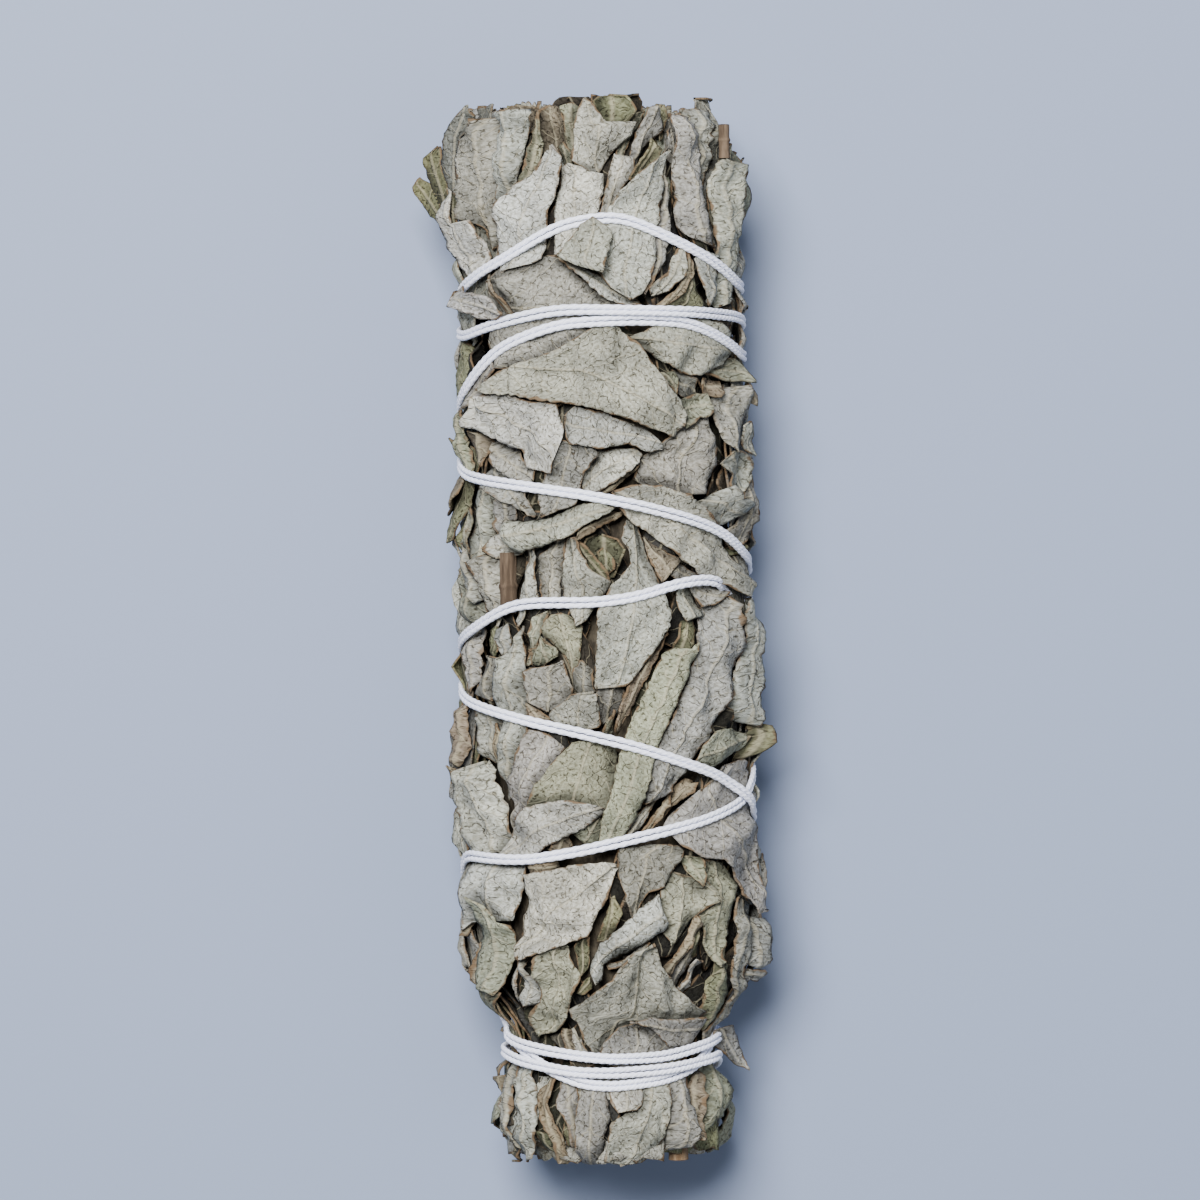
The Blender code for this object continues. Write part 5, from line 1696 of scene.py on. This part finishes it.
@dataclass(frozen=True)
class CottonFinish:
    """Soft white cotton whose plies show as slanting ridges, with painted violet shade in the grooves
    between them.
    """

    colour: tuple = (0.85, 0.88, 1.0, 1.0)
    # Colour of the painted shade in the grooves between the plies
    painted_groove_shade: tuple = (0.30, 0.30, 0.56, 1.0)

    def material(self) -> bpy.types.Material:
        """Returns the thread material."""
        made = bpy.data.materials.new("white_cotton")
        made.use_nodes = True
        tree = made.node_tree
        nodes = Nodes(tree)
        shader = tree.nodes["Principled BSDF"]
        place = nodes.read("thread_place")
        parts = nodes.add("ShaderNodeSeparateXYZ", {0: place}).outputs
        slant = nodes.math("ADD", nodes.times(parts[0], 1.6), nodes.times(parts[1], 1.7))
        ply = nodes.math("PINGPONG", slant, 0.5)
        fibre = nodes.noise(place, 7.0, 2.0)
        groove_shade_mask = nodes.ramp(ply, 0.0, 0.16, 1.0, 0.0)
        # Painted violet shade in the grooves between the plies
        colour = nodes.mix(nodes.times(groove_shade_mask, 0.34), self.colour, self.painted_groove_shade)
        height = nodes.math("ADD", nodes.times(ply, 1.2), nodes.times(fibre, 0.5))
        bump = nodes.add("ShaderNodeBump", {"Height": height, "Strength": 0.8, "Distance": 0.09 * MM})
        tree.links.new(colour, shader.inputs["Base Color"])
        tree.links.new(bump.outputs[0], shader.inputs["Normal"])
        shader.inputs["Roughness"].default_value = 0.8
        return made


@dataclass(frozen=True)
class WoodFinish:
    """Dry bark, or the packed core's near-black painted shade, with streaks along Y."""

    name: str
    low: tuple
    high: tuple
    streak: float

    def material(self) -> bpy.types.Material:
        """Returns the material."""
        made = bpy.data.materials.new(self.name)
        made.use_nodes = True
        tree = made.node_tree
        nodes = Nodes(tree, "3D")
        shader = tree.nodes["Principled BSDF"]
        where = nodes.add("ShaderNodeTexCoord").outputs["Object"]
        scale = (1 / MM, self.streak / MM, 1 / MM)
        stretch = nodes.add("ShaderNodeVectorMath", {0: where, 1: scale}, operation="MULTIPLY")
        value = nodes.noise(stretch.outputs[0], 1.6, 4.0, 0.65)
        share = nodes.ramp(value, 0.35, 0.68)
        colour = nodes.mix(share, self.low, self.high)
        bump = nodes.add("ShaderNodeBump", {"Height": value, "Strength": 0.6, "Distance": 0.2 * MM})
        tree.links.new(colour, shader.inputs["Base Color"])
        tree.links.new(bump.outputs[0], shader.inputs["Normal"])
        shader.inputs["Roughness"].default_value = 0.9
        shader.inputs["Specular IOR Level"].default_value = 0.2
        return made


@dataclass(frozen=True)
class Studio:
    """The plain floor, the soft lights and the camera straight above."""

    floor_colour: tuple = (0.182, 0.228, 0.342, 1.0)
    sky_colour: tuple = (0.86, 0.91, 1.0, 1.0)
    sky_strength: float = 0.195
    lights: tuple = (
        ("key", (-0.13, 0.26, 0.74), 0.32, 18.0, (1.0, 0.99, 0.98)),
        ("fill", (0.5, -0.25, 0.7), 0.6, 1.9, (0.92, 0.95, 1.0)),
    )
    camera_x: float = -0.0005 + CENTRE_SHIFT * MM
    camera_y: float = 0.00296
    camera_height: float = 0.62
    framed_level: float = 0.019
    frame_height: float = 0.1146
    film_width: float = 36.0
    roll: float = -0.85

    def floor(self) -> None:
        """Adds the pale floor."""
        work = bmesh.new()
        bmesh.ops.create_grid(work, x_segments=2, y_segments=2, size=1.5)
        mesh = bpy.data.meshes.new("floor")
        work.to_mesh(mesh)
        work.free()
        made = bpy.data.objects.new("floor", mesh)
        bpy.context.scene.collection.objects.link(made)
        surface = bpy.data.materials.new("pale_floor")
        surface.use_nodes = True
        shader = surface.node_tree.nodes["Principled BSDF"]
        shader.inputs["Base Color"].default_value = self.floor_colour
        shader.inputs["Roughness"].default_value = 0.6
        made.data.materials.append(surface)

    def light(self, name: str, where: tuple, size: float, power: float, colour: tuple) -> None:
        """Adds one soft square light aimed at the bundle.

        Args:
            name: Name of the light.
            where: Its place in metres.
            size: Length of its side in metres.
            power: Its power in watts.
            colour: Its colour.
        """
        data = bpy.data.lights.new(name, "AREA")
        data.size = size
        data.energy = power
        data.color = colour
        made = bpy.data.objects.new(name, data)
        made.location = where
        made.rotation_euler = (Vector((0, 0, 0.012)) - Vector(where)).to_track_quat("-Z", "Y").to_euler()
        bpy.context.scene.collection.objects.link(made)

    def build(self) -> None:
        """Adds the floor, the lights, the sky and the camera."""
        self.floor()
        for values in self.lights:
            self.light(*values)
        world = bpy.data.worlds.new("soft_sky")
        world.use_nodes = True
        sky = world.node_tree.nodes["Background"]
        sky.inputs["Color"].default_value = self.sky_colour
        sky.inputs["Strength"].default_value = self.sky_strength
        bpy.context.scene.world = world
        data = bpy.data.cameras.new("camera")
        data.sensor_fit = "AUTO"
        data.sensor_width = self.film_width
        data.lens = self.film_width * (self.camera_height - self.framed_level) / self.frame_height
        camera = bpy.data.objects.new("camera", data)
        camera.location = (self.camera_x, self.camera_y, self.camera_height)
        camera.rotation_euler = (0.0, 0.0, math.radians(self.roll))
        bpy.context.scene.collection.objects.link(camera)
        bpy.context.scene.camera = camera


def dress(piece: bpy.types.Object, surface: bpy.types.Material, node: str) -> None:
    """Gives a piece its material and body, and hides the CAD node that it stands for."""
    piece.data.materials.append(surface)
    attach(piece, "root")
    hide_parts(node)


def main() -> None:
    """Builds the bundle, its thread and the studio."""
    bundle = Bundle()
    thread = Thread(bundle)
    mound = LeafMound(bundle, thread)
    mound.lay()
    leaf_surface = LeafFinish().material(felt_group(), vein_group())
    for piece in mound.objects():
        dress(piece, leaf_surface, "leaf_bunch")
    ends = (("leafy_end_curls", 41.0, END_REACH, 31), ("stalk_end_curls", -42.5, -END_REACH, 37))
    for name, root, tip, seed in ends:
        sheets = EndPack(bundle, root, tip, seed).sheets()
        dress(sheet_object(name, sheets, bundle, ROLLED_THICKNESS), leaf_surface, "leaf_bunch")
    # The core's near-black colour is painted shade in the gaps between the leaves
    core_painted_shade = WoodFinish("packed_core_painted_shade", (0.02, 0.016, 0.011, 1.0), (0.06, 0.05, 0.034, 1.0), 0.4)
    dress(core_object(bundle), core_painted_shade.material(), "leaf_bunch")
    cotton = Cotton(bundle, thread)
    white = CottonFinish().material()
    half = THREAD_SPACING / 2
    dress(cotton.strand("strand_one", half, 0.0), white, "binding_thread")
    dress(cotton.strand("strand_two", -half, 1.4), white, "binding_thread")
    bark = WoodFinish("dry_stalk", (0.11, 0.068, 0.036, 1.0), (0.25, 0.18, 0.115, 1.0), 0.12).material()
    for row in STALKS:
        dress(stalk_object(*row), bark, row[0])
    dark_bark = WoodFinish(
        "dark_bark", (0.05, 0.034, 0.022, 1.0), (0.14, 0.10, 0.068, 1.0), 0.12
    ).material()
    for row in STEMS:
        dress(stalk_object(*row), dark_bark, "leaf_bunch")
    Studio().build()
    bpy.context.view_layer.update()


if __name__ == "__main__":
    main()
